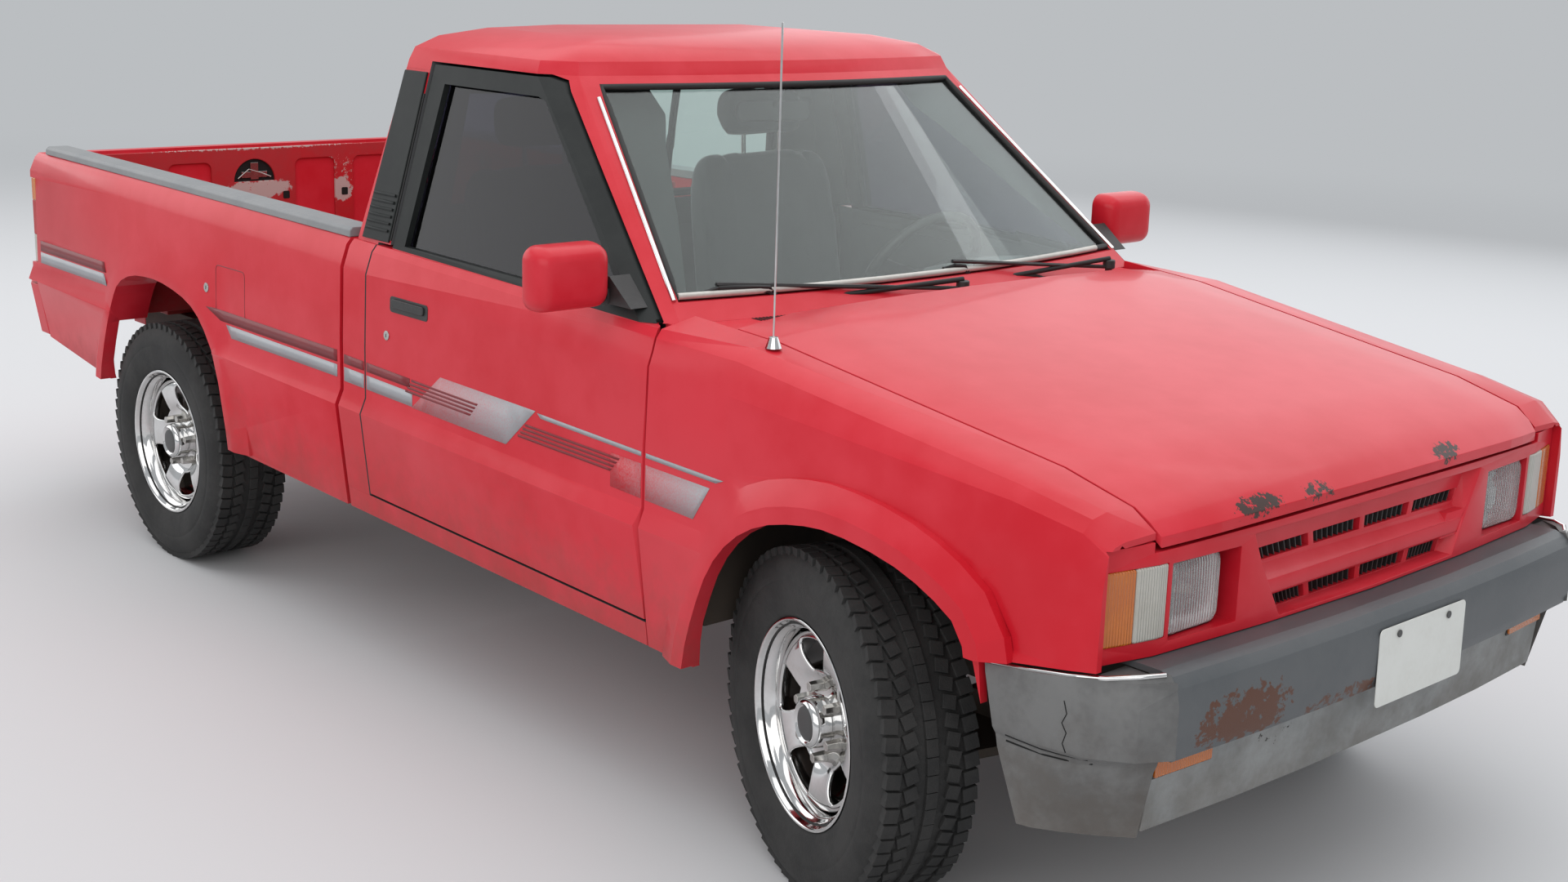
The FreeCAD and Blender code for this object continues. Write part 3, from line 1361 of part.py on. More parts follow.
def drive_shaft():
    start = point(0, 882.6, 450)
    end = point(0, REAR_AXLE - 202.8, TYRE_Z)
    return round_bar(start, end, 38, 16)


feature("drive_shaft", drive_shaft())


def exhaust():
    runs = [(200, 264.6, 445), (200, 1100, 300), (200, 1700, 300)]
    pipes = [round_bar(point(*a), point(*b), 24, 12) for a, b in zip(runs, runs[1:])]
    muffler = round_bar(point(200, 1695, 300), point(200, 2200, 300), 80, 20)
    return joined(pipes + [muffler])


feature("exhaust", exhaust())

# %% Check every piece and write it

doc.recompute()
for item in doc.Objects:
    if "Invalid" in item.State or "Error" in item.State:
        raise RuntimeError(f"{item.Label}: {item.State}")
for item in subparts:
    if item.Shape.isNull() or not item.Shape.isValid() or not item.Shape.Solids:
        raise RuntimeError(f"{item.Label} has no valid solid")
os.makedirs("parts", exist_ok=True)
for item in subparts:
    item.Shape.exportStep(f"parts/{item.Label}.step")
    print(item.Label, len(item.Shape.Solids), round(item.Shape.Volume / 1e6, 3), "litres")
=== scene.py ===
# %% [markdown]
# A compact pickup truck with a short open bed, as it stands parked: faded red paint, grey plastic, chrome
# wheels. The CAD parts are loaded first. They fix every place and size. This script gives each one its
# looks, and adds the small things that the CAD leaves out: tread, handles, seals, stripes, lamp glass and
# seat cloth.

import json
import math

import bmesh
import bpy
from mathutils import Matrix, Vector
from mathutils.bvhtree import BVHTree

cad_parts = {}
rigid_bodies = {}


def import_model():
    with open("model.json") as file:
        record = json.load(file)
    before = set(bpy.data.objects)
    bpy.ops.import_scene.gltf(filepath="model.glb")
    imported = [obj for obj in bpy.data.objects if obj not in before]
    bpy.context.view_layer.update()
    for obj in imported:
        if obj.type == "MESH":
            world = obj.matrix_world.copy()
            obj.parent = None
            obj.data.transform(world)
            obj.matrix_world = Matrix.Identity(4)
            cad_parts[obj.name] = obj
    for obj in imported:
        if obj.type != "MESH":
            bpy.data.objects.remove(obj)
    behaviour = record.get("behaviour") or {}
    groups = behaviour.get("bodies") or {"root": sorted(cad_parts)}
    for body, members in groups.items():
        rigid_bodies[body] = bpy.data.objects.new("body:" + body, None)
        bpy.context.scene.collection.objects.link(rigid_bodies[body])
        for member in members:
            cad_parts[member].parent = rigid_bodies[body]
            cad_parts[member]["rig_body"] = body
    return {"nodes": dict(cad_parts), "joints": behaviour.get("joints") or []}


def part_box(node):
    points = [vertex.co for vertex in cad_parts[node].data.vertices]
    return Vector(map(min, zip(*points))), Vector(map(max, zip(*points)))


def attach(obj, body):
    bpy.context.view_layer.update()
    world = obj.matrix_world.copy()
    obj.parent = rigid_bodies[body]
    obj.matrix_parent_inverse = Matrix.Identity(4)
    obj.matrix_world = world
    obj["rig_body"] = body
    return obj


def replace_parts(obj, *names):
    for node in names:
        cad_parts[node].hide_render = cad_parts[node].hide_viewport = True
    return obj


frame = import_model()
nodes = frame["nodes"]
joints = {joint["name"]: joint for joint in frame["joints"]}
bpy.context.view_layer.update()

# %% [markdown]
# Everything on a truck is measured from its front axle, in millimetres. A station is a distance behind that
# axle. The frame tells where the axle is, so one helper turns a half-width, a station and a height into
# Blender's metres.

# %% Places along the truck
MM = 0.001
FRONT_AXLE_Y = joints["steer_left"]["pos_m"][1]
SIDES = (("right", -1), ("left", 1))


def place(x, station, z):
    return Vector((x * MM, FRONT_AXLE_Y + station * MM, z * MM))


def turns_of(count):
    """Evenly spaced angles once round a circle."""
    return [2 * math.pi * step / count for step in range(count)]


print("front axle at", FRONT_AXLE_Y)

# %% [markdown]
# Shader trees and geometry trees are both made of nodes with input sockets. This small class adds a node,
# sets its options, and fills each input with a value or links it, so that the recipes below read like sums.
# A group is the same, with named inputs that are read as group["Name"].

# %% Node helpers


class Recipe:
    def __init__(self, tree):
        self.tree = tree

    def fill(self, sockets, values):
        """Maps an input's name or number to a value or to the socket that feeds it."""
        for key, value in values.items():
            if isinstance(value, bpy.types.NodeSocket):
                self.tree.links.new(value, sockets[key])
            else:
                sockets[key].default_value = value

    def add(self, kind, values, output=0, **settings):
        """Adds a node and returns one of its outputs."""
        made = self.tree.nodes.new(kind)
        for name, value in settings.items():
            setattr(made, name, value)
        self.fill(made.inputs, values)
        return made.outputs[output]

    def sum(self, operation, a, b, clamp=False):
        return self.add("ShaderNodeMath", {0: a, 1: b}, operation=operation, use_clamp=clamp)

    def times(self, a, b, clamp=False):
        return self.sum("MULTIPLY", a, b, clamp)

    def vector_sum(self, operation, a, b=(0, 0, 0), output=0):
        return self.add("ShaderNodeVectorMath", {0: a, 1: b}, output, operation=operation)

    def position(self):
        return self.add("ShaderNodeTexCoord", {}, "Object")

    def mix(self, share, a, b):
        return self.add("ShaderNodeMix", {0: share, 6: a, 7: b}, 2, data_type="RGBA")

    def noise(self, position, scale, detail=4.0, rough=0.55):
        return self.add("ShaderNodeTexNoise",
                        {"Vector": position, "Scale": scale, "Detail": detail, "Roughness": rough}, "Fac")

    def ramp(self, value, low, high, kind="LINEAR"):
        return self.add("ShaderNodeMapRange", {"Value": value, "From Min": low, "From Max": high},
                        interpolation_type=kind)

    def use(self, group, output, **values):
        """Places a shader group. An underscore in a name stands for a space."""
        named = {name.replace("_", " "): value for name, value in values.items()}
        return self.add("ShaderNodeGroup", named, output, node_tree=group.tree)


SOCKETS = {"colour": "NodeSocketColor", "vector": "NodeSocketVector", "shape": "NodeSocketGeometry",
           "finish": "NodeSocketMaterial", "value": "NodeSocketFloat", float: "NodeSocketFloat",
           int: "NodeSocketInt"}


class Group(Recipe):
    """A node group. Each input is named with its sort, or with a number that it starts from."""

    def __init__(self, name, kind, inputs, outputs):
        super().__init__(bpy.data.node_groups.new(name, kind))
        for way, table in (("INPUT", inputs), ("OUTPUT", outputs)):
            for label, sort in table.items():
                socket_type = SOCKETS[sort if isinstance(sort, str) else type(sort)]
                socket = self.tree.interface.new_socket(label, in_out=way, socket_type=socket_type)
                if not isinstance(sort, str):
                    socket.default_value = sort
        self.given = self.tree.nodes.new("NodeGroupInput").outputs
        self.results = self.tree.nodes.new("NodeGroupOutput").inputs

    def __getitem__(self, name):
        return self.given[name]

    def give(self, *found):
        self.fill(self.results, dict(enumerate(found)))


def masked(name, **inputs):
    """A shader group that takes a position and a colour, and gives a new colour and where it lies."""
    named = {label.replace("_", " "): sort for label, sort in inputs.items()}
    return Group(name, "ShaderNodeTree", {"Position": "vector", "Colour": "colour", **named},
                 {"Colour": "colour", "Mask": "value"})


def rgba(shade):
    """A colour for a socket, from three numbers or from one for a grey."""
    return (*shade, 1) if isinstance(shade, tuple) else (shade, shade, shade, 1)


# %% [markdown]
# Paint that has stood outside for years is nowhere quite the same colour. This group mixes two tones
# with a broad cloud pattern and a finer one. It is built once and every painted or plastic finish uses it.

# %% Faded tone
tone = masked("Faded tone", Faded="colour", Amount=0.5, Size=3.0)
broad = tone.noise(tone["Position"], tone["Size"])
fine = tone.noise(tone["Position"], tone.times(tone["Size"], 9.0))
cloud = tone.sum("ADD", tone.times(broad, 0.75), tone.times(fine, 0.25))
share = tone.times(tone.ramp(cloud, 0.35, 0.65, "SMOOTHSTEP"), tone["Amount"])
tone.give(tone.mix(share, tone["Colour"], tone["Faded"]), share)

# %% [markdown]
# Dirt comes from the road, so it is thickest low down. The group reads the height of each point of the
# object, fades the dirt out between two heights, and breaks its edge up with noise so that it doesn't look
# like a band.

# %% Road dirt
dirt = masked("Road dirt", Dirt="colour", Dirty_below=0.35, Clean_above=0.8, Strength=0.6)
height = dirt.add("ShaderNodeSeparateXYZ", {0: dirt["Position"]}, "Z")
speckle = dirt.noise(dirt["Position"], 14.0, 6.0, 0.65)
wobble = dirt.times(dirt.sum("SUBTRACT", speckle, 0.5), 0.45)
level = dirt.ramp(dirt.sum("ADD", height, wobble), dirt["Clean above"], dirt["Dirty below"], "SMOOTHSTEP")
share = dirt.times(level, dirt["Strength"], True)
dirt.give(dirt.mix(share, dirt["Colour"], dirt["Dirt"]), share)

# %% [markdown]
# Rust and stone chips are small islands with hard edges. Sharp noise makes the islands, and a soft ball
# round one spot of the truck decides where they may show: the bumper's lower edge, or the hood's front lip.

# %% Rust patches
rust = masked("Rust patches", Rust="colour", Centre="vector", Reach="vector", Grain=60.0, Cover=0.5)
offset = rust.vector_sum("SUBTRACT", rust["Position"], rust["Centre"])
away = rust.vector_sum("LENGTH", rust.vector_sum("DIVIDE", offset, rust["Reach"]), output="Value")
inside = rust.ramp(away, 1.0, 0.25, "SMOOTHSTEP")
islands = rust.noise(rust["Position"], rust["Grain"], 5.0, 0.7)
height = rust.sum("ADD", islands, rust.times(inside, 0.45))
limit = rust.sum("SUBTRACT", 1.25, rust.times(rust["Cover"], 0.5))
share = rust.ramp(height, limit, rust.sum("ADD", limit, 0.03))
rust.give(rust.mix(share, rust["Colour"], rust["Rust"]), share)

# %% [markdown]
# Moulded plastic, rubber and seat cloth are never mirror smooth, and lamp lenses have upright flutes. Two
# groups put out such a height. The Bump node that turns it into shading stays in the material.

# %% Fine grain and flutes
grain = Group("Fine grain", "ShaderNodeTree", {"Position": "vector", "Size": 400.0}, {"Height": "value"})
grain.give(grain.noise(grain["Position"], grain["Size"], 2.0, 0.5))
flutes = Group("Lens flutes", "ShaderNodeTree", {"Position": "vector", "Size": 50.0}, {"Height": "value"})
flutes.give(flutes.add("ShaderNodeTexWave", {"Vector": flutes["Position"], "Scale": flutes["Size"]}, "Fac",
                       wave_type="BANDS", bands_direction="X"))

# %% [markdown]
# Some stripes fade into the paint. Their finish mixes grey with red along the truck, from one station to
# another, and a fine dot pattern breaks the change up, as on a printed film.

# %% Fading stripe
fade = masked("Fade along the truck", Paint="colour", Full_at="value", Gone_at="value")
along = fade.add("ShaderNodeSeparateXYZ", {0: fade["Position"]}, "Y")
gone = fade.ramp(along, fade["Full at"], fade["Gone at"])
dots = fade.add("ShaderNodeTexVoronoi", {"Vector": fade["Position"], "Scale": 260.0}, "Distance")
share = fade.sum("ADD", gone, fade.times(fade.sum("SUBTRACT", dots, 0.5), 0.35), True)
fade.give(fade.mix(share, fade["Colour"], fade["Paint"]), share)
print("shader groups", [group.name for group in bpy.data.node_groups])

# %% [markdown]
# A finish is one material: a Principled shader whose constant settings sit on its own sockets.
# Where the colour varies, the groups above feed Base Color, and dirt also raises the roughness.

# %% Finish maker
RED = (0.56, 0.010, 0.022)
RUST = (0.095, 0.030, 0.012)
MUD = rgba((0.11, 0.085, 0.065))
FULL_DIRT_ROUGHNESS = 0.5
finishes = {}


def finish(name, slot, colour, roughness, faded=None, fading=0.5, clouds=3.0, muddy=None, patches=(),
           bump=None, along_truck=None, **constants):
    """Makes a material. clouds is the fineness of the fading. muddy is (dirty below, clean above, strength).
    patches lists (centre, reach, grain, cover, shade). bump is (group, fineness, depth)."""
    material = bpy.data.materials.new(name)
    material.use_nodes = True
    recipe = Recipe(material.node_tree)
    shader = material.node_tree.nodes["Principled BSDF"].inputs
    recipe.fill(shader, {"Base Color": rgba(colour), "Roughness": roughness})
    recipe.fill(shader, {label.replace("_", " "): value for label, value in constants.items()})
    position = recipe.position()
    current = rgba(colour)
    if faded is not None:
        current = recipe.use(tone, "Colour", Position=position, Colour=current, Faded=rgba(faded),
                             Amount=fading, Size=clouds)
    for centre, reach, size, cover, shade in patches:
        current = recipe.use(rust, "Colour", Position=position, Colour=current, Rust=rgba(shade),
                             Centre=place(*centre), Reach=reach, Grain=size, Cover=cover)
    if along_truck:
        full_at, gone_at = (place(0, station, 0).y for station in along_truck)
        current = recipe.use(fade, "Colour", Position=position, Colour=current, Paint=rgba(RED),
                             Full_at=full_at, Gone_at=gone_at)
    if muddy:
        low, high, strength = muddy
        layer = recipe.use(dirt, "Colour", Position=position, Colour=current, Dirt=MUD, Dirty_below=low,
                           Clean_above=high, Strength=strength)
        current = layer
        cover = recipe.times(layer.node.outputs["Mask"], FULL_DIRT_ROUGHNESS)
        recipe.fill(shader, {"Roughness": recipe.sum("ADD", cover, roughness, True)})
    recipe.fill(shader, {"Base Color": current})
    if bump:
        group, size, depth = bump
        height = recipe.use(group, "Height", Position=position, Size=size)
        recipe.fill(shader, {"Normal": recipe.add("ShaderNodeBump", {"Height": height, "Distance": depth,
                                                                     "Strength": 1.0})})
    finishes[name] = (material, slot)


# %% [markdown]
# The body paint is a single-stage red that has gone chalky: still glossy, with a pinkish cast and paler
# clouds. Stone chips along the hood's lip have rusted, and the tailgate's inside is worn through to bare
# metal.

# %% Paints
CHALKY_RED = (0.66, 0.040, 0.060)
CHIP = (0.045, 0.022, 0.018)
BARE = (0.50, 0.40, 0.38)
finish("red paint", "red_paint", RED, 0.36, CHALKY_RED, 0.7, 1.7, muddy=(0.25, 0.62, 0.38),
       Specular_IOR_Level=0.22, Coat_Weight=0.13, Coat_Roughness=0.10)
finish("hood paint", "red_paint", RED, 0.34, CHALKY_RED, 0.8, 1.3,
       patches=[((-385, -670, 884), (0.14, 0.040, 0.05), 70.0, 0.80, CHIP),
                ((-205, -678, 884), (0.10, 0.040, 0.05), 80.0, 0.70, CHIP),
                ((245, -668, 884), (0.09, 0.040, 0.05), 75.0, 0.78, CHIP)],
       Specular_IOR_Level=0.22, Coat_Weight=0.14, Coat_Roughness=0.07)
finish("bed paint", "red_paint", (0.42, 0.012, 0.018), 0.5, (0.30, 0.05, 0.045), 0.8, 6.0,
       patches=[((0, 2700, 690), (1.2, 1.6, 0.5), 26.0, 0.22, RUST)])
finish("worn paint", "red_paint", (0.50, 0.010, 0.018), 0.45, (0.40, 0.03, 0.035), 0.8, 5.0,
       patches=[((-70, 3580, 945), (0.21, 0.05, 0.05), 30.0, 0.95, BARE),
                ((245, 3580, 925), (0.07, 0.05, 0.08), 30.0, 0.95, BARE),
                ((-60, 3580, 1088), (0.75, 0.05, 0.02), 110.0, 0.80, BARE),
                ((300, 3580, 1000), (0.50, 0.05, 0.12), 90.0, 0.45, BARE)])
finish("chassis black", "chassis_paint", 0.02, 0.6, (0.06, 0.045, 0.035), 0.8, muddy=(0.2, 1.0, 0.6))
finish("bumper grey", "grey_steel", (0.080, 0.088, 0.095), 0.45, (0.115, 0.12, 0.125), clouds=4.0,
       patches=[((-500, -768, 545), (0.24, 0.09, 0.11), 36.0, 0.80, RUST),
                ((-150, -768, 508), (0.40, 0.09, 0.05), 50.0, 0.66, RUST)], bump=(grain, 500.0, 0.0003))
finish("cap plastic", "grey_plastic", 0.105, 0.58, (0.165, 0.165, 0.163), 0.9, 7.0, (0.25, 0.6, 0.45),
       bump=(grain, 600.0, 0.0004))
finish("valance plastic", "grey_plastic", (0.29, 0.30, 0.30), 0.5, (0.21, 0.22, 0.22), 0.9, 6.0,
       (0.25, 0.55, 0.5), [((-330, -715, 450), (0.22, 0.05, 0.05), 60.0, 0.45, 0.03)],
       (grain, 600.0, 0.0003))
finish("rail grey", "grey_plastic", (0.20, 0.21, 0.22), 0.5, 0.28, clouds=5.0, bump=(grain, 600.0, 0.0003))

# %% [markdown]
# Black trim, rubber, chrome and lamp plastics follow. Chrome is a metal with very low roughness.

# %% Trim and metal
finish("black plastic", "black_plastic", 0.018, 0.48, 0.05, clouds=9.0, bump=(grain, 700.0, 0.0004))
finish("pillar black", "black_plastic", (0.010, 0.012, 0.012), 0.5, (0.022, 0.025, 0.024), clouds=5.0,
       Specular_IOR_Level=0.25)
finish("rubber seal", "black_plastic", 0.012, 0.6)
finish("tyre rubber", "tyre", 0.014, 0.78, (0.032, 0.031, 0.030), 0.8, 9.0, bump=(grain, 300.0, 0.0006))
finish("chrome", "chrome", 0.72, 0.09, (0.45, 0.43, 0.40), 0.35, 18.0, Metallic=1.0)
finish("dull chrome", "chrome", (0.55, 0.54, 0.52), 0.26, (0.3, 0.28, 0.25), 0.6, 30.0, Metallic=1.0)
finish("hub dark", "cast_metal", 0.10, 0.4, Metallic=0.8)
finish("cast iron", "cast_metal", (0.09, 0.075, 0.065), 0.65, (0.16, 0.09, 0.06), clouds=20.0, Metallic=0.5)
finish("reflector", "lamp_glass", (0.92, 0.92, 0.93), 0.32, Metallic=0.55)
finish("frosted lens", "lamp_glass", (0.62, 0.60, 0.54), 0.28, (0.48, 0.45, 0.38), clouds=12.0,
       bump=(flutes, 55.0, 0.0012), Transmission_Weight=0.25, Coat_Weight=0.5)
finish("amber lens", "amber_lens", (0.75, 0.20, 0.015), 0.22, (0.6, 0.13, 0.01), clouds=14.0,
       bump=(flutes, 55.0, 0.0012), Transmission_Weight=0.25, Coat_Weight=0.5)
finish("red lens", "red_lens", (0.42, 0.004, 0.006), 0.25, bump=(flutes, 60.0, 0.001),
       Specular_IOR_Level=0.3, Coat_Weight=0.2)
finish("pale trim", "chrome", (0.60, 0.58, 0.54), 0.4, (0.42, 0.40, 0.37), clouds=14.0, Metallic=0.35)
finish("mirror plate", "chrome", (0.85, 0.87, 0.88), 0.02, Metallic=1.0)
STRIPE_GREY = (0.36, 0.37, 0.39)
finish("stripe grey", "grey_plastic", STRIPE_GREY, 0.4, (0.30, 0.30, 0.32), clouds=8.0, Metallic=0.3)
finish("stripe dark", "red_paint", (0.17, 0.008, 0.014), 0.42, (0.25, 0.015, 0.02), clouds=6.0)
finish("stripe to the rear", "grey_plastic", STRIPE_GREY, 0.4, along_truck=(960, 1560))
finish("stripe to the front", "grey_plastic", STRIPE_GREY, 0.4, along_truck=(300, 620))
# This near-black finish is painted shade: it stands in for the shadow inside holes, slots, grooves, a crack,
# the radio slot and the back of each lamp pocket.
finish("painted hole shade", "black_plastic", 0.004, 0.9)
finish("plate white", "grey_plastic", (0.72, 0.73, 0.70), 0.4, (0.62, 0.62, 0.58), clouds=10.0)

# %% [markdown]
# Glass keeps a plain transmission value, and tinted glass is the same glass with a darker colour. A thick
# pane would throw a black shadow, so the material lets a share of every shadow ray through by its Alpha.

# %% Glass
for name, slot, colour, roughness, transmission, ior, let_through in (
        ("clear glass", "glass", (0.74, 0.84, 0.81), 0.0, 1.0, 1.45, 0.88),
        ("tinted glass", "tinted_glass", (0.035, 0.03, 0.055), 0.0, 1.0, 1.34, 0.25),
        ("lamp glass", "lamp_glass", (0.95, 0.96, 0.96), 0.03, 0.86, 1.4, 0.9)):
    finish(name, slot, colour, roughness, bump=(flutes, 42.0, 0.0022) if slot == "lamp_glass" else None,
           Transmission_Weight=transmission, IOR=ior)
    recipe = Recipe(finishes[name][0].node_tree)
    shadow_ray = recipe.add("ShaderNodeLightPath", {}, "Is Shadow Ray")
    solid = recipe.sum("SUBTRACT", 1.0, recipe.times(shadow_ray, let_through))
    recipe.fill(recipe.tree.nodes["Principled BSDF"].inputs, {"Alpha": solid})

# %% [markdown]
# Inside the cab everything is grey: a grained dashboard and door cards, and woven cloth on the seats.

# %% Interior finishes
finish("dash vinyl", "interior_grey", (0.13, 0.135, 0.14), 0.55, (0.18, 0.185, 0.19), clouds=4.0,
       bump=(grain, 450.0, 0.0005))
finish("door card", "interior_grey", (0.10, 0.105, 0.11), 0.65, bump=(grain, 450.0, 0.0005))
finish("seat cloth", "seat_cloth", (0.075, 0.08, 0.088), 0.9, (0.11, 0.115, 0.12), clouds=25.0,
       bump=(grain, 420.0, 0.0005), Sheen_Weight=0.5)
finish("cabin lining", "interior_grey", (0.10, 0.102, 0.106), 0.95)
finish("floor carpet", "interior_grey", (0.035, 0.035, 0.038), 0.95, bump=(grain, 700.0, 0.002))
print(len(finishes), "finishes in all")

# %% [markdown]
# Most CAD parts already have their true outline, but their edges are knife sharp and their faces are loose
# triangles. A refined copy merges and simplifies the mesh, rounds its edges with a Bevel modifier, and
# shades gentle bends smooth. It then stands in for its CAD node and rides the same body.

# %% Refined copies
FLAT_WITHIN = 0.6


def to_mesh(work, outwards=True, mesh=None):
    """Ends a piece of work on faces: they are turned outwards where that is asked, and become a mesh."""
    if outwards:
        bmesh.ops.recalc_face_normals(work, faces=work.faces)
    mesh = mesh or bpy.data.meshes.new("shape")
    work.to_mesh(mesh)
    work.free()
    return mesh


def copy_of(node, flatten=FLAT_WITHIN):
    """A CAD node's mesh with its doubled corners merged and its flat triangles joined, ready for bevels."""
    mesh = nodes[node].data.copy()
    work = bmesh.new()
    work.from_mesh(mesh)
    bmesh.ops.remove_doubles(work, verts=work.verts, dist=0.02 * MM)
    if flatten:
        bmesh.ops.dissolve_limit(work, angle_limit=math.radians(flatten), verts=work.verts, edges=work.edges)
    return to_mesh(work, False, mesh)


def new_piece(name, mesh, carrier, finish_name, bevel=0, angle=28, segments=2):
    """Puts a mesh, already in its place, on the body that carries a CAD node, with rounded sharper edges."""
    thing = bpy.data.objects.new(name, mesh)
    bpy.context.scene.collection.objects.link(thing)
    material, slot = finishes[finish_name]
    mesh.materials.clear()
    mesh.materials.append(material)
    mesh.shade_smooth()
    mesh.set_sharp_from_angle(angle=math.radians(angle))
    if bevel:
        rounding = thing.modifiers.new("rounded edges", "BEVEL")
        rounding.width = bevel * MM
        rounding.segments = segments
        rounding.limit_method = "ANGLE"
        rounding.angle_limit = math.radians(angle)
        rounding.harden_normals = True
        rounding.use_clamp_overlap = True
        rounding.miter_outer = "MITER_ARC"
    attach(thing, nodes[carrier]["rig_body"])
    return thing


CABIN_CENTRE = place(0, 1050, 950)
UNDER_FLOOR = 0.44


def line_inside(thing, finish_name, least=0.03):
    """Gives every face that looks towards the cabin's centre, from above its floor, a second finish."""
    thing.data.materials.append(finishes[finish_name][0])
    for face in thing.data.polygons:
        if face.center.z > UNDER_FLOOR and face.normal.dot(CABIN_CENTRE - face.center) > least:
            face.material_index = 1


def refined(node, finish_name, bevel=2.0, angle=28, segments=2, flatten=FLAT_WITHIN):
    thing = new_piece(node + "_finished", copy_of(node, flatten), node, finish_name, bevel, angle, segments)
    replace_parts(thing, node)
    return thing


# %% [markdown]
# The table below gives each CAD node its finish and the radius of its rounded edges in millimetres.
# A star stands for right and left. Tyres, wheels, seats and lamps come later with shapes of their own.
# A sheet with many holes keeps all its triangles, because a joined face with many holes is filled wrongly.

# %% Dress the plain nodes
PLAIN_NODES = [
    # node or pair of nodes, finish, edge radius
    ("frame_rail_*", "chassis black", 3), ("frame_crossmembers", "chassis black", 3),
    ("engine_block", "cast iron", 8), ("gearbox", "cast iron", 8), ("fuel_tank", "chassis black", 12),
    ("cab_floor", "red paint", 4), ("cowl_firewall", "red paint", 3), ("roof_and_pillars", "red paint", 5),
    ("cab_back", "red paint", 4), ("door_glass_*", "tinted glass", 0), ("fixed_glass", "clear glass", 0),
    ("hood", "hood paint", 6), ("fender_*", "red paint", 4), ("engine_bay", "chassis black", 2),
    ("grille_panel", "red paint", 3), ("grille_fins", "black plastic", 0.6),
    ("front_bumper", "bumper grey", 8), ("bumper_end_caps", "cap plastic", 7),
    ("front_valance", "valance plastic", 3), ("bed_side_*", "red paint", 4),
    ("bed_floor", "bed paint", 3), ("rail_caps", "rail grey", 3), ("rear_panel", "red paint", 6),
    ("tailgate", "red paint", 4), ("dashboard", "dash vinyl", 12), ("steering_column", "dash vinyl", 2),
    ("pillar_trims", "pillar black", 2), ("aerial", "chrome", 0.5), ("knuckle_*", "cast iron", 2),
    ("front_suspension", "chassis black", 2), ("rear_axle", "chassis black", 3),
    ("leaf_springs", "cast iron", 1.5), ("drive_shaft", "cast iron", 2), ("exhaust", "cast iron", 3),
]
MANY_HOLES = ("grille_panel", "hood", "bed_side_right", "bed_side_left", "tailgate")
LINED = {"roof_and_pillars": "cabin lining", "cab_back": "cabin lining", "cab_floor": "floor carpet",
         "cowl_firewall": "cabin lining"}
for pair, finish_name, radius in PLAIN_NODES:
    for node in [pair.replace("*", side_name) for side_name, side in SIDES[:1 + pair.count("*")]]:
        thing = refined(node, finish_name, radius, flatten=0 if node in MANY_HOLES else FLAT_WITHIN)
        if node in LINED:
            line_inside(thing, LINED[node])

# %% [markdown]
# Wheels are turned shapes. A profile of distances along the axle and radii is spun round, as on a lathe.
# The tyre's profile has a rounded sidewall with a thin rim guard, and its tread surface is the bottom of the
# grooves: the blocks that stand on it come from Geometry Nodes.

# %% Turned shapes


def spun(along, radius, angle):
    """Place at a distance along the axle and a radius from it, both in millimetres."""
    return along * MM, -radius * math.sin(angle) * MM, radius * math.cos(angle) * MM


def lathe(profile, turns):
    """Mesh of a closed profile of (along the axle, radius) in millimetres, spun round the X axis."""
    work = bmesh.new()
    rings = [[work.verts.new(spun(*row, angle)) for row in profile] for angle in turns_of(turns)]
    for ring, after in zip(rings, rings[1:] + rings[:1]):
        for i in range(len(profile)):
            k = (i + 1) % len(profile)
            work.faces.new((ring[i], ring[k], after[k], after[i]))
    bmesh.ops.remove_doubles(work, verts=work.verts, dist=0.01 * MM)
    return to_mesh(work)


GROOVE_RADIUS = 336
HALF_TYRE = [
    (88, 193), (91, 205), (97, 211), (100, 216), (103, 224), (106.5, 238), (108.6, 252), (109.6, 266),
    (109.9, 276), (109.4, 277.5), (109.4, 279), (109.9, 280.5), (109.2, 292), (107.2, 304), (103.6, 316),
    (98.2, 326), (91, 333), (84, GROOVE_RADIUS),
]
tyre_mesh = lathe(HALF_TYRE + [(-a, r) for a, r in HALF_TYRE[::-1]], 120)
print("tyre carcass", len(tyre_mesh.polygons), "faces")

# %% [markdown]
# The tread has five rows of blocks with grooves between them. A geometry tree puts one block on each point
# of a circle, turns it to face outwards, and repeats that for every row of a short table. The count, sizes
# and radius are named inputs, so that the same tree could dress any tyre.

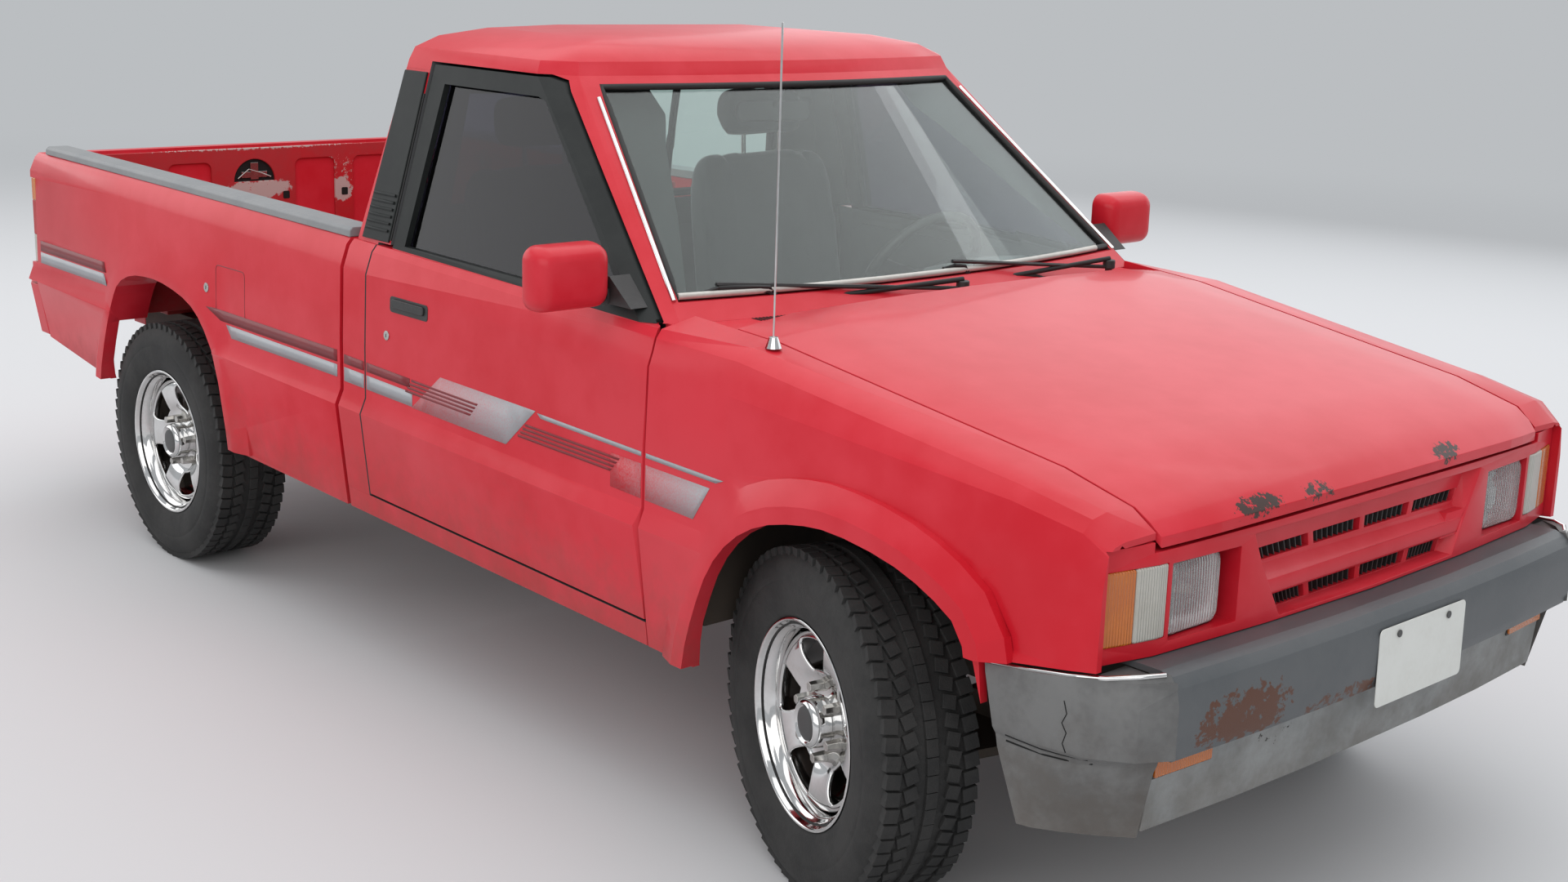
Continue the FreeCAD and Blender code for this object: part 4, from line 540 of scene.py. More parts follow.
# %% Tread tree
BLOCKS_IN_A_ROW = 64
TREAD_ROWS = [
    # offset along the axle, width, share of the pitch that a block fills, skew in degrees, phase
    (-81, 30, 0.86, 9, 0.0), (-44, 27, 0.80, -16, 0.3), (0, 24, 0.985, 0, 0.0), (44, 27, 0.80, 16, 0.6),
    (81, 30, 0.86, -9, 0.5),
]
tread = Group("Tread blocks", "GeometryNodeTree",
              {"Blocks in a row": BLOCKS_IN_A_ROW, "Groove radius": 0.336, "Depth": 0.009,
               "Rubber": "finish"}, {"Tread": "shape"})
pitch = tread.sum("DIVIDE", tread.times(tread["Groove radius"], 2 * math.pi), tread["Blocks in a row"])
join = tread.tree.nodes.new("GeometryNodeJoinGeometry")
for offset, width, fill, skew, phase in TREAD_ROWS:
    circle = tread.add("GeometryNodeMeshCircle",
                       {"Vertices": tread["Blocks in a row"], "Radius": tread["Groove radius"]})
    points = tread.add("GeometryNodeTransform", {"Geometry": circle, "Translation": (0, 0, offset * MM),
                                                 "Rotation": (0, 0, phase * 2 * math.pi / BLOCKS_IN_A_ROW)})
    out = tread.add("FunctionNodeAlignRotationToVector",
                    {"Vector": tread.add("GeometryNodeInputPosition", {})}, axis="X", pivot_axis="Z")
    twist = tread.add("FunctionNodeAxisAngleToRotation", {"Axis": (1, 0, 0), "Angle": math.radians(skew)})
    skewed = tread.add("FunctionNodeRotateRotation", {"Rotation": out, "Rotate By": twist},
                       rotation_space="LOCAL")
    sizes = tread.add("ShaderNodeCombineXYZ", {"X": tread.times(tread["Depth"], 2.0),
                                               "Y": tread.times(pitch, fill), "Z": width * MM})
    block_shape = tread.add("GeometryNodeMeshCube", {"Size": sizes})
    row = tread.add("GeometryNodeInstanceOnPoints", {"Points": points, "Instance": block_shape,
                                                     "Rotation": skewed})
    tread.tree.links.new(row, join.inputs[0])


def coated(group, instances, finish_input):
    """The end of every tree: real geometry in place of instances, and its material."""
    real = group.add("GeometryNodeRealizeInstances", {0: instances})
    group.give(group.add("GeometryNodeSetMaterial", {"Geometry": real, "Material": group[finish_input]}))


coated(tread, join.outputs[0], "Rubber")
print("tread rows", len(TREAD_ROWS))

# %% [markdown]
# A geometry tree only becomes an ordinary mesh when it is evaluated. This helper gives a temporary object
# the tree, sets its inputs by their identifiers, copies the result into a plain mesh, and throws the rest
# away.

# %% Bake a tree to a mesh


def baked(group, inputs, base=None):
    holder = bpy.data.objects.new("holder", base or bpy.data.meshes.new("empty"))
    bpy.context.scene.collection.objects.link(holder)
    modifier = holder.modifiers.new("tree", "NODES")
    modifier.node_group = group.tree
    identifiers = {item.name: item.identifier for item in group.tree.interface.items_tree
                   if item.item_type == "SOCKET" and item.in_out == "INPUT"}
    for name, value in inputs.items():
        modifier[identifiers[name]] = value
    holder.update_tag()
    bpy.context.view_layer.update()
    mesh = bpy.data.meshes.new_from_object(holder.evaluated_get(bpy.context.evaluated_depsgraph_get()))
    holder.modifiers.remove(modifier)
    bpy.data.objects.remove(holder)
    return mesh


AXLE_FROM_Z = Matrix.Rotation(math.radians(90), 4, "Y")
SUNK = 0.5
tread_mesh = baked(tread, {"Groove radius": (GROOVE_RADIUS - SUNK) * MM, "Depth": 0.0087,
                           "Blocks in a row": BLOCKS_IN_A_ROW, "Rubber": finishes["tyre rubber"][0]})
tread_mesh.transform(AXLE_FROM_Z)
print("tread", len(tread_mesh.polygons), "faces")

# %% [markdown]
# The wheel is pressed steel, chromed. Its rim is turned. Its disc has five openings, so it is drawn as
# rings of points round the axle whose columns bend to follow the edges of an opening. The faces inside are
# left out. A Solidify modifier gives the pressed steel its thickness, and a Subdivision modifier rounds the
# openings.

# %% Wheel disc
OPENINGS = 5
SECTOR_COLUMNS = 20
OPENING_COLUMNS = 10
WHOLE_HALF = 16
DISC_ROWS = [
    # radius, distance along the axle, half-angle of the opening in degrees (none where the disc is whole)
    (47, 50, 0), (56, 47, 0), (70, 46, 0), (84, 47, 0), (93, 51, 0), (98, 54, 13), (106, 58, 15),
    (124, 64, 18.5), (142, 67, 19.5), (157, 67, 18.5), (163, 65, 17), (170, 62, 0), (177, 58, 0),
]


def faced(work, way):
    """Mesh of an open sheet whose faces look along X, or against it where way is negative."""
    bmesh.ops.recalc_face_normals(work, faces=work.faces)
    if sum(face.normal.x for face in work.faces) * way < 0:
        bmesh.ops.reverse_faces(work, faces=work.faces)
    return to_mesh(work, False)


def disc_mesh():
    work = bmesh.new()
    rings = []
    share = OPENING_COLUMNS / SECTOR_COLUMNS
    for radius, along, half in DISC_ROWS:
        width = 2 * math.radians(half or WHOLE_HALF)
        ring = []
        for column in range(OPENINGS * SECTOR_COLUMNS):
            sector, step = divmod(column, SECTOR_COLUMNS)
            part = step / SECTOR_COLUMNS
            if part <= share:
                angle = width * (part / share - 0.5)
            else:
                angle = width / 2 + (2 * math.pi / OPENINGS - width) * (part - share) / (1 - share)
            angle += sector * 2 * math.pi / OPENINGS
            ring.append(work.verts.new(spun(along, radius, angle)))
        rings.append(ring)
    for row, (ring, after) in enumerate(zip(rings, rings[1:])):
        open_row = DISC_ROWS[row][2] and DISC_ROWS[row + 1][2]
        for column in range(len(ring)):
            if open_row and column % SECTOR_COLUMNS < OPENING_COLUMNS:
                continue
            k = (column + 1) % len(ring)
            work.faces.new((ring[column], ring[k], after[k], after[column]))
    return faced(work, 1)


RIM_PROFILE = [
    (98, 207.5), (99.5, 205), (98.5, 202), (95, 200), (90, 197), (84, 193), (80, 190), (77, 186),
    (74.5, 184), (70, 182), (64, 180), (56, 178), (50, 176), (30, 174), (-40, 168), (-80, 178), (-95, 196),
    (-98, 206), (-94, 207), (-90, 198), (-78, 192), (60, 192), (86, 196), (94, 207),
]
rim_mesh = lathe(RIM_PROFILE, 96)
wheel_disc = disc_mesh()
print("disc", len(wheel_disc.polygons), "rim", len(rim_mesh.polygons), "faces")

# %% [markdown]
# The hub cap stands out of the middle, a short chromed cup with a plain dark centre, and six nuts sit round
# it. The nuts are a small tree: one hexagonal cone on each point of a circle.

# %% Hub cap and nuts
CAP_PROFILE = [
    (44, 0), (44, 51), (72, 50), (82, 49), (88, 46), (91, 41), (90, 38), (87, 36), (86, 34), (86, 0),
]
CENTRE_PROFILE = [(84, 0), (84, 33.6), (87.4, 33), (88.6, 29), (89.2, 18), (89.4, 0)]
NUT_FOOT = 46
cap_mesh = lathe(CAP_PROFILE, 64)
centre_mesh = lathe(CENTRE_PROFILE, 48)

nuts = Group("Ring of nuts", "GeometryNodeTree", {"Count": 6, "Circle radius": 0.06985, "Nut radius": 0.0125,
                                                  "Nut length": 0.030, "Metal": "finish"}, {"Nuts": "shape"})
circle = nuts.add("GeometryNodeMeshCircle", {"Vertices": nuts["Count"], "Radius": nuts["Circle radius"]})
shank = nuts.add("GeometryNodeMeshCone", {"Vertices": 6, "Radius Top": nuts.times(nuts["Nut radius"], 0.82),
                                          "Radius Bottom": nuts["Nut radius"], "Depth": nuts["Nut length"]})
coated(nuts, nuts.add("GeometryNodeInstanceOnPoints", {"Points": circle, "Instance": shank}), "Metal")
nut_mesh = baked(nuts, {"Count": 6, "Circle radius": 0.06985, "Nut radius": 0.0125, "Nut length": 0.030,
                        "Metal": finishes["dull chrome"][0]})
nut_mesh.transform(Matrix.Translation((NUT_FOOT * MM, 0, 0)) @ AXLE_FROM_Z)
print("nuts", len(nut_mesh.polygons), "faces")

# %% [markdown]
# Each wheel's place comes from its own spin joint: the joint's position is the wheel's centre, and its axis
# points to the truck's left. The parked front wheels are turned, which their joint axes already hold.
# A right-hand wheel is turned half round the vertical, so its outer face looks outwards too.

# %% Fit the four wheels
WHEELS = {"front_right": 10, "front_left": 31, "rear_right": -18, "rear_left": 47}


def wheel_matrix(wheel):
    joint = joints["spin_" + wheel]
    outward = Vector(joint["axis"]).normalized() * (1 if wheel.endswith("left") else -1)
    up = Vector((0, 0, 1))
    turn = Matrix((outward, up.cross(outward), up)).transposed().to_4x4()
    return Matrix.Translation(Vector(joint["pos_m"])) @ turn


def wheel_piece(name, wheel, mesh, finish_name, bevel=0, angle=28, spin=0):
    mesh = mesh.copy()
    mesh.transform(wheel_matrix(wheel) @ Matrix.Rotation(math.radians(spin), 4, "X"))
    return new_piece(f"{name}_{wheel}", mesh, "tyre_" + wheel, finish_name, bevel, angle)


def thickened(thing, thickness):
    pressed = thing.modifiers.new("sheet thickness", "SOLIDIFY")
    pressed.thickness = thickness * MM
    pressed.offset = -1


def subdivided(thing):
    rounded = thing.modifiers.new("rounded", "SUBSURF")
    rounded.levels = rounded.render_levels = 2


for wheel, spin in WHEELS.items():
    carcass = wheel_piece("tyre_carcass", wheel, tyre_mesh, "tyre rubber", angle=50)
    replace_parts(carcass, "tyre_" + wheel)
    wheel_piece("tread", wheel, tread_mesh, "tyre rubber", bevel=1.0)
    rim = wheel_piece("turned_rim", wheel, rim_mesh, "chrome", angle=60)
    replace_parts(rim, "rim_" + wheel)
    disc = wheel_piece("disc", wheel, wheel_disc, "chrome", angle=60, spin=spin)
    thickened(disc, 9)
    subdivided(disc)
    wheel_piece("hub_cap", wheel, cap_mesh, "chrome", angle=40, spin=spin)
    wheel_piece("cap_centre", wheel, centre_mesh, "hub dark", angle=40, spin=spin)
    wheel_piece("nuts", wheel, nut_mesh, "dull chrome", bevel=1.2, spin=spin)
print("four wheels fitted")

# %% [markdown]
# The small things that the CAD leaves out are drawn as outlines and stood on its surfaces. To find a
# surface, a ray is sent at a CAD node from the side, the front or above. What it hits tells the place and
# the slope.

# %% Find places on the CAD surfaces
BESIDE, AHEAD, BEHIND, ABOVE = 1500, -3000, 6000, 3000
surfaces = {}


def surface(node):
    if node not in surfaces:
        mesh = nodes[node].data
        surfaces[node] = BVHTree.FromPolygons([v.co for v in mesh.vertices],
                                              [p.vertices for p in mesh.polygons])
    return surfaces[node]


def hit(names, start, direction):
    """Nearest place and outward normal where a ray meets any of the CAD nodes named in one line."""
    found = [surface(name).ray_cast(start, Vector(direction)) for name in names.split()]
    found = [item for item in found if item[0]]
    if not found:
        raise ValueError(f"no surface of {names} from {start}")
    spot, normal = min(found, key=lambda item: item[3])[:2]
    return spot, normal if normal.dot(Vector(direction)) < 0 else -normal


def on_side(names, side, station, z):
    return hit(names, place(side * BESIDE, station, z), (-side, 0, 0))


def on_front(names, x, z):
    return hit(names, place(x, AHEAD, z), (0, 1, 0))


def on_back(names, x, z):
    return hit(names, place(x, BEHIND, z), (0, -1, 0))


def on_top(names, x, station):
    return hit(names, place(x, station, ABOVE), (0, 0, -1))


def lifted(found, lift):
    spot, normal = found
    return spot + normal * lift * MM


# %% [markdown]
# Four kinds of shape cover almost all trim: a prism of an outline, a loft through rings, a round bar along
# a path, and a CAD part cut in two where one real panel ends and the next begins.

# %% Shape helpers


def lofted(rings, closed=False):
    """Mesh through rings of equally many points. A closed loft joins its last ring to its first."""
    count, total = len(rings[0]), len(rings)
    faces = []
    for row in range(total if closed else total - 1):
        after = (row + 1) % total
        for i in range(count):
            k = (i + 1) % count
            faces.append((row * count + i, row * count + k, after * count + k, after * count + i))
    if not closed:
        faces += [tuple(range(count)), tuple(range((total - 1) * count, total * count))]
    mesh = bpy.data.meshes.new("shape")
    mesh.from_pydata([tuple(point) for ring in rings for point in ring], [], faces)
    work = bmesh.new()
    work.from_mesh(mesh)
    return to_mesh(work, True, mesh)


def tube(path, radius, sides=8, closed=False):
    """Round bar of a radius in millimetres along a path of places."""
    rings = []
    sideways = None
    for i, spot in enumerate(path):
        before = path[i - 1] if i or closed else spot
        after = path[(i + 1) % len(path)] if i < len(path) - 1 or closed else spot
        ahead = (after - before).normalized()
        if sideways:
            sideways = (sideways - ahead * sideways.dot(ahead)).normalized()
        else:
            sideways = ahead.orthogonal().normalized()
        across = ahead.cross(sideways)
        rings.append([spot + (sideways * math.cos(a) + across * math.sin(a)) * radius * MM
                      for a in turns_of(sides)])
    return lofted(rings, closed)


def rounded_box(width, height, radius, steps=5):
    """Outline of a rectangle with round corners about its middle, in millimetres."""
    points = []
    for quarter, (cx, cy) in enumerate(((1, 1), (-1, 1), (-1, -1), (1, -1))):
        for step in range(steps + 1):
            angle = math.radians(90 * (quarter + step / steps))
            points.append((cx * (width / 2 - radius) + radius * math.cos(angle),
                           cy * (height / 2 - radius) + radius * math.sin(angle)))
    return points


def circle_outline(radius, sides):
    return [(radius * math.cos(angle), radius * math.sin(angle)) for angle in turns_of(sides)]


def shifted(outline, x, z):
    return [(x + a, z + b) for a, b in outline]


def standing(outline, spot, normal, low, high, up=(0, 0, 1)):
    """Prism of an outline of (across, up) in millimetres, from low to high above a surface."""
    normal = normal.normalized()
    across = Vector(up).cross(normal).normalized()
    upwards = normal.cross(across)
    return lofted([[spot + (across * a + upwards * b + normal * level) * MM for a, b in outline]
                   for level in (low, high)])


def block(x0, x1, s0, s1, z0, z1):
    return lofted([[place(x, s, z) for x, s in ((x0, s0), (x1, s0), (x1, s1), (x0, s1))] for z in (z0, z1)])


def stud(name, carrier, found, outline, levels, finish_name, bevel=0, up=(0, 0, 1)):
    """Piece on a found (place, normal): a box of (width, height, corner) or a disc of (radius, sides)."""
    drawn = rounded_box(*outline) if len(outline) > 2 else circle_outline(*outline)
    new_piece(name, standing(drawn, *found, *levels, up), carrier, finish_name, bevel)


def bar(name, carrier, path, radius, finish_name, sides=8, closed=False, angle=60):
    """Piece that is one round bar along a path."""
    new_piece(name, tube(path, radius, sides, closed), carrier, finish_name, angle=angle)


def as_one(meshes):
    """Joins meshes into one."""
    work = bmesh.new()
    for mesh in meshes:
        work.from_mesh(mesh)
    return to_mesh(work, False)


def everything(work):
    return work.verts[:] + work.edges[:] + work.faces[:]


def parted(mesh, spot, normal):
    """Cuts a closed mesh at a plane and closes both halves. The first half lies where the normal points."""
    halves = []
    for way in (1, -1):
        work = bmesh.new()
        work.from_mesh(mesh)
        cut = bmesh.ops.bisect_plane(work, geom=everything(work), dist=1e-6, plane_co=spot,
                                     plane_no=Vector(normal) * way, clear_inner=True)
        edges = [item for item in cut["geom_cut"] if isinstance(item, bmesh.types.BMEdge)]
        bmesh.ops.triangle_fill(work, edges=edges, use_beauty=True, use_dissolve=True)
        halves.append(to_mesh(work))
    return halves


print("shape helpers ready")

# %% [markdown]
# Each door is one CAD piece, but on the truck its window frame is black and its panel is red. The copy is
# cut at the belt line, which rises a little towards the rear. The door glass keeps its CAD shape.

# %% Doors, window frames and handles
BELT_FRONT = place(0, 512, 1044)
BELT_REAR = place(0, 1700, 1073)
belt_normal = (BELT_REAR - BELT_FRONT).cross(Vector((-1, 0, 0))).normalized()
if belt_normal.z < 0:
    belt_normal = -belt_normal
HANDLE_S, HANDLE_Z, HANDLE_WIDTH, HANDLE_HEIGHT = 1408, 947, 164, 38
LOCK_S, LOCK_Z, LOCK_RADIUS = 1504, 868, 11.5
CARD = [(560, 590), (1545, 600), (1545, 1000), (1500, 1030), (640, 1015), (560, 980)]
ARMREST = [(800, 800), (1330, 812), (1330, 838), (820, 826)]

for side_name, side in SIDES:
    door = "door_" + side_name
    frame_half, panel_half = parted(copy_of(door), BELT_FRONT, belt_normal)
    panel = new_piece(door + "_panel", panel_half, door, "red paint", 3)
    line_inside(panel, "door card", 0.3)
    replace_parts(panel, door)
    new_piece(door + "_window_frame", frame_half, door, "pillar black", 3)
    spot, normal = on_side(door, side, HANDLE_S, HANDLE_Z)
    stud(door + "_handle_cup", door, (spot, normal), (HANDLE_WIDTH, HANDLE_HEIGHT, 9), (-6, 1.6),
         "black plastic", 1)
    grip_spot = spot + Vector((0, 0, 3 * MM))
    stud(door + "_handle", door, (grip_spot, normal), (HANDLE_WIDTH - 26, 21, 8), (1, 6.5),
         "black plastic", 2)
    found = on_side(door, side, LOCK_S, LOCK_Z)
    stud(door + "_lock", door, found, (LOCK_RADIUS, 28), (-3, 2.2), "dull chrome", 0.8)
    # The key slot is a small block of painted shade.
    stud(door + "_key_slot", door, found, (2.2, 9, 1, 2), (1, 2.5), "painted hole shade")
    inner_x = hit(door, place(0, 1100, 800), (side, 0, 0))[0].x / MM
    for part, outline, depths, finish_name, bevel in (("_card", CARD, (0.2, 7), "door card", 3),
                                                      ("_armrest", ARMREST, (6, 48), "dash vinyl", 8)):
        mesh = lofted([[place(inner_x - side * depth, s, z) for s, z in outline] for depth in depths])
        new_piece(door + part, mesh, door, finish_name, bevel)
print("doors dressed")

# %% [markdown]
# Rubber runs round the windshield and the rear window, where glass meets paint. Along the pillars a bright
# strip lies beside it, and a pale strip covers the joint at the windshield's foot.

# %% Seals and bright strips
FOOT_X, FOOT_Z, HEAD_X, HEAD_Z = 694, 1087, 553, 1479
REAR_FOOT_X, REAR_FOOT_Z, REAR_HEAD_X, REAR_HEAD_Z = 541, 1124, 497, 1426
REAR_BARS, REAR_TRACK_UP = (-172, -160, 160, 172), 10
CAB = "roof_and_pillars"


def between(a, b, steps):
    """Evenly spaced pairs from a to b, without b itself."""
    return [(a[0] + (b[0] - a[0]) * i / steps, a[1] + (b[1] - a[1]) * i / steps) for i in range(steps)]


def window_loop(foot_x, foot_z, head_x, head_z, steps):
    corners = [(-foot_x, foot_z), (foot_x, foot_z), (head_x, head_z), (-head_x, head_z)]
    return [pair for a, b in zip(corners, corners[1:] + corners[:1]) for pair in between(a, b, steps)]


def over(line, find, names, lift):
    """Places found over a line of (x, z), lifted off the surface."""
    return [lifted(find(names, x, z), lift) for x, z in line]


loop = over(window_loop(FOOT_X, FOOT_Z, HEAD_X, HEAD_Z, 14), on_front, "fixed_glass", 3)
bar("windshield_seal", CAB, loop, 8, "rubber seal", closed=True)
for side_name, side in SIDES:
    line = between((side * (FOOT_X + 17), FOOT_Z - 4), (side * (HEAD_X + 16), HEAD_Z + 14), 12)
    strip = over(line, on_front, "roof_and_pillars cowl_firewall", 1.5)
    bar("pillar_strip_" + side_name, CAB, strip, 5.5, "chrome")
line = between((-FOOT_X, FOOT_Z - 1), (FOOT_X + 1, FOOT_Z - 1), 24)
bar("windshield_foot_strip", CAB, over(line, on_front, "fixed_glass", 7), 7.5, "pale trim")

loop = over(window_loop(REAR_FOOT_X, REAR_FOOT_Z, REAR_HEAD_X, REAR_HEAD_Z, 8), on_back, "fixed_glass", 3)
bar("rear_window_seal", CAB, loop, 10, "rubber seal", closed=True)
for number, x in enumerate(REAR_BARS):
    ends = over([(x, REAR_FOOT_Z + 2), (x, REAR_HEAD_Z - 2)], on_back, "fixed_glass", 0)
    bar(f"rear_window_bar_{number}", CAB, ends, 6, "rubber seal", 6, angle=28)
ends = [(x, REAR_FOOT_Z + REAR_TRACK_UP) for x in (5 - REAR_FOOT_X, REAR_FOOT_X - 5)]
ends = over(ends, on_back, "fixed_glass", 0)
bar("rear_window_track", CAB, ends, 8, "rubber seal", 6, angle=28)
print("seals laid")

# %% [markdown]
# The pillar panels behind the doors carry six low ribs near their feet. The ribs follow the panel's edges,
# which lean forward, so each rib's ends are worked out from its height.

# %% Ribs on the pillar panels
RIBS, RIB_START, RIB_END, RIB_FOOT, RIB_SPACING, RIB_RADIUS = 6, 1566, 1668, 1106, 16.5, 4
PANEL_FOOT, PANEL_LEAN = 1080, 0.052
for side_name, side in SIDES:
    ribs = []
    for step in range(RIBS):
        z = RIB_FOOT + RIB_SPACING * step
        last = RIB_END - (z - PANEL_FOOT) * PANEL_LEAN
        path = [lifted(on_side("pillar_trims", side, s, z), 0.5)
                for s in (RIB_START, (RIB_START + last) / 2, last)]
        ribs.append(tube(path, RIB_RADIUS, 6))
    new_piece("pillar_ribs_" + side_name, as_one(ribs), CAB, "pillar black", angle=60)

# %% [markdown]
# Rubber seals fill the gap behind each door, below and above the belt, and a black edge hides the last strip
# of paint between the door frame and the pillar trim.

# %% Door seals
HIGH = (1085, 1150, 1250, 1350, 1430)
SEALS = [
    # name, station of the skin that it follows, its own station, depth below the skin, radius, heights
    ("door_seal_low_", 1640, 1609, 52, 6.5, (560, 700, 850, 960)),
    ("door_seal_high_", 1554, 1546.5, 17, 5.5, HIGH), ("pillar_edge_", 1554, 1553.8, -0.5, 2.6, HIGH),
]
for side_name, side in SIDES:
    for name, followed, station, depth, radius, heights in SEALS:
        skin = [on_side("cab_back", side, followed, z)[0].x / MM for z in heights]
        path = [place(x - side * depth, station, z) for x, z in zip(skin, heights)]
        bar(name + side_name, "cab_back", path, radius, "rubber seal")

# %% [markdown]
# The mirrors have a rounded red shell on a black foot, with a mirror plate on the rear face. The foot is
# the part of the CAD piece inboard of the shell. The wiper blades lie on the glass along the outer part of
# each arm.

# %% Mirrors and wipers
SHELL_START, SHELL_X, SHELL_Z, SHELL_WIDTH, SHELL_HEIGHT, SHELL_ROUND = 803, 892, 1133, 183, 135, 30
SHELL_ROWS = ((704, 4), (706, 1.5), (702, 0), (686, 0), (670, 2), (657, 6), (648, 12), (642, 20), (639, 32))
WIPER_ARMS = [
    # pivot half-width and station, tip half-width and station
    (15, 425, -600, 556), (560, 446, 60, 503),
]
BLADE_START, BLADE_SHARE, BLADE_STEPS, BLADE_LIFT, SPINE_LIFT = 0.42, 0.64, 10, 7, 9
PIVOT_Z, WIPER_CAP_Z = 1086, 1073


def shell_ring(side, inset, radius, steps, station):
    ring = rounded_box(SHELL_WIDTH - 2 * inset, SHELL_HEIGHT - 2 * inset, radius, steps)
    return [place(side * (SHELL_X + a), station, SHELL_Z + b) for a, b in ring]


for side_name, side in SIDES:
    node = "mirror_" + side_name
    foot = parted(copy_of(node), place(side * SHELL_START, 0, 0), (side, 0, 0))[1]
    shell = lofted([shell_ring(side, inset, SHELL_ROUND - inset / 2, 8, s) for s, inset in SHELL_ROWS])
    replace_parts(new_piece(node + "_shell", shell, node, "red paint", angle=50), node)
    new_piece(node + "_foot", foot, node, "black plastic", 5)
    face = lofted([shell_ring(side, 8, 22, 5, s) for s in (703, 707.5)])
    new_piece(node + "_plate", face, node, "mirror plate", 1)

refined("wipers", "black plastic", 0.5)
for number, (x0, s0, x1, s1) in enumerate(WIPER_ARMS):
    shares = [BLADE_START + BLADE_SHARE * i / BLADE_STEPS for i in range(BLADE_STEPS + 1)]
    line = [(x0 + (x1 - x0) * share, s0 + (s1 - s0) * share) for share in shares]
    blade = over(line, on_top, "fixed_glass cowl_firewall hood", BLADE_LIFT)
    spine = [spot + Vector((0, 0, SPINE_LIFT * MM)) for spot in blade[1:-1]]
    arm = [place(x0, s0, PIVOT_Z), spine[len(spine) // 2]]
    wiper = as_one([tube(blade, 5, 6), tube(spine, 5, 6), tube([blade[0], spine[0]], 4, 6),
                    tube([blade[-1], spine[-1]], 4, 6), tube(arm, 6)])
    new_piece(f"wiper_blade_{number}", wiper, "wipers", "rubber seal", angle=60)
    pivot = (place(x0, s0, WIPER_CAP_Z), Vector((0, 0, 1)))
    stud(f"wiper_cap_{number}", "wipers", pivot, (15, 16), (-12, 10), "black plastic", 3, (0, 1, 0))
print("mirrors and wipers fitted")

# %% [markdown]
# The headlamps are sealed units: a flat-fronted glass lens with upright flutes, a shiny bowl behind it with
# a small bulb, and a black surround that fills the rest of the pocket. Their CAD boxes give the sizes.

# %% Headlamps
LENS_HALF_X, LENS_HALF_Z, LENS_ROUND = 74, 65, 20
POCKET_HALF_X, POCKET_HALF_Z, LENS_OUTBOARD = 90, 69, 14
lamp_low, lamp_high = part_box("headlamps")
lamp_x = lamp_high[0] / MM - POCKET_HALF_X
lamp_z = (lamp_low[2] + lamp_high[2]) / 2 / MM
LAMP_FRONT = (lamp_low[1] - FRONT_AXLE_Y) / MM
WELL_FRONT, WELL_BACK = -612, -600.5
BOWL_ROWS = ((4, 4), (20, 8), (38, 20), (47, 36), (50, 58), (54, 58), (52, 30), (30, 2), (6, 0))
LENS_ROWS = ((4, 1), (-4, 1), (-7, 4), (-9, 14), (-10, 40))
SURROUND_ROWS = ((16, -3), (0, -3), (-2, -0.5), (14, -0.5))
BULB_ROWS = ((48, 9), (26, 9), (18, 6), (15, 1))


def lamp_shape(x, rows, closed=False):
    """Loft of rounded rectangles, from rows of (depth behind the lamp's front, inset from the outline)."""
    rings = []
    for depth, inset in rows:
        half_x, half_z = LENS_HALF_X - inset, LENS_HALF_Z - inset
        outline = rounded_box(2 * half_x, 2 * half_z, min(LENS_ROUND, half_z - 0.5))
        rings.append([place(x + a, LAMP_FRONT + depth, lamp_z + b) for a, b in outline])
    return lofted(rings, closed)


for side_name, side in SIDES:
    x = side * (lamp_x + LENS_OUTBOARD)
    bowl = lamp_shape(x, BOWL_ROWS, True)
    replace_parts(new_piece("lamp_bowl_" + side_name, bowl, "headlamps", "reflector", angle=50), "headlamps")
    new_piece("lamp_lens_" + side_name, lamp_shape(x, LENS_ROWS), "headlamps", "lamp glass", angle=50)
    bulb = lofted([[place(x + a, LAMP_FRONT + depth, lamp_z + b) for a, b in circle_outline(radius, 12)]
                   for depth, radius in BULB_ROWS])
    new_piece("lamp_bulb_" + side_name, bulb, "headlamps", "frosted lens", angle=60)
    # Painted shade: a near-black block closes the back of the pocket and stands in for its shadow.
    well = block(side * lamp_x - POCKET_HALF_X, side * lamp_x + POCKET_HALF_X, WELL_FRONT, WELL_BACK,
                 lamp_z - POCKET_HALF_Z, lamp_z + POCKET_HALF_Z)
    new_piece("lamp_well_" + side_name, well, "headlamps", "painted hole shade")
    ring = lamp_shape(x, SURROUND_ROWS, True)
    new_piece("lamp_surround_" + side_name, ring, "headlamps", "black plastic", angle=50)
print("headlamps built")

# %% [markdown]
# The corner lamps are amber outboard and clear inboard, in one moulding. The tail lamps wrap the bed's rear
# corners in three bands: amber at the top, then red, then a clear one.

# %% Corner and tail lamps
CORNER_SPLIT = 689
TAIL_BANDS = [
    # height where a band ends, finish of the band above it
    (950, "amber lens"), (842, "red lens"),
]
corners = parted(copy_of("corner_lamps"), place(0, 0, 0), (1, 0, 0))
for (side_name, side), mesh in zip(SIDES[::-1], corners):
    amber, clear = parted(mesh, place(side * CORNER_SPLIT, 0, 0), (side, 0, 0))
    outer = new_piece("corner_lamp_amber_" + side_name, amber, "headlamps", "amber lens", 5, 40, 3)
    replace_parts(outer, "corner_lamps")
    new_piece("corner_lamp_clear_" + side_name, clear, "headlamps", "frosted lens", 5, 40, 3)

tails = parted(copy_of("tail_lamps"), place(0, 0, 0), (1, 0, 0))
for (side_name, side), rest in zip(SIDES[::-1], tails):
    for number, (height, finish_name) in enumerate(TAIL_BANDS):
        band, rest = parted(rest, place(0, 0, height), (0, 0, 1))
        piece = new_piece(f"tail_lamp_{side_name}_{number}", band, "tail_lamps", finish_name, 3, 40, 3)
        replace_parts(piece, "tail_lamps")
    new_piece(f"tail_lamp_{side_name}_clear", rest, "tail_lamps", "frosted lens", 3, 40, 3)
print("corner and tail lamps dressed")
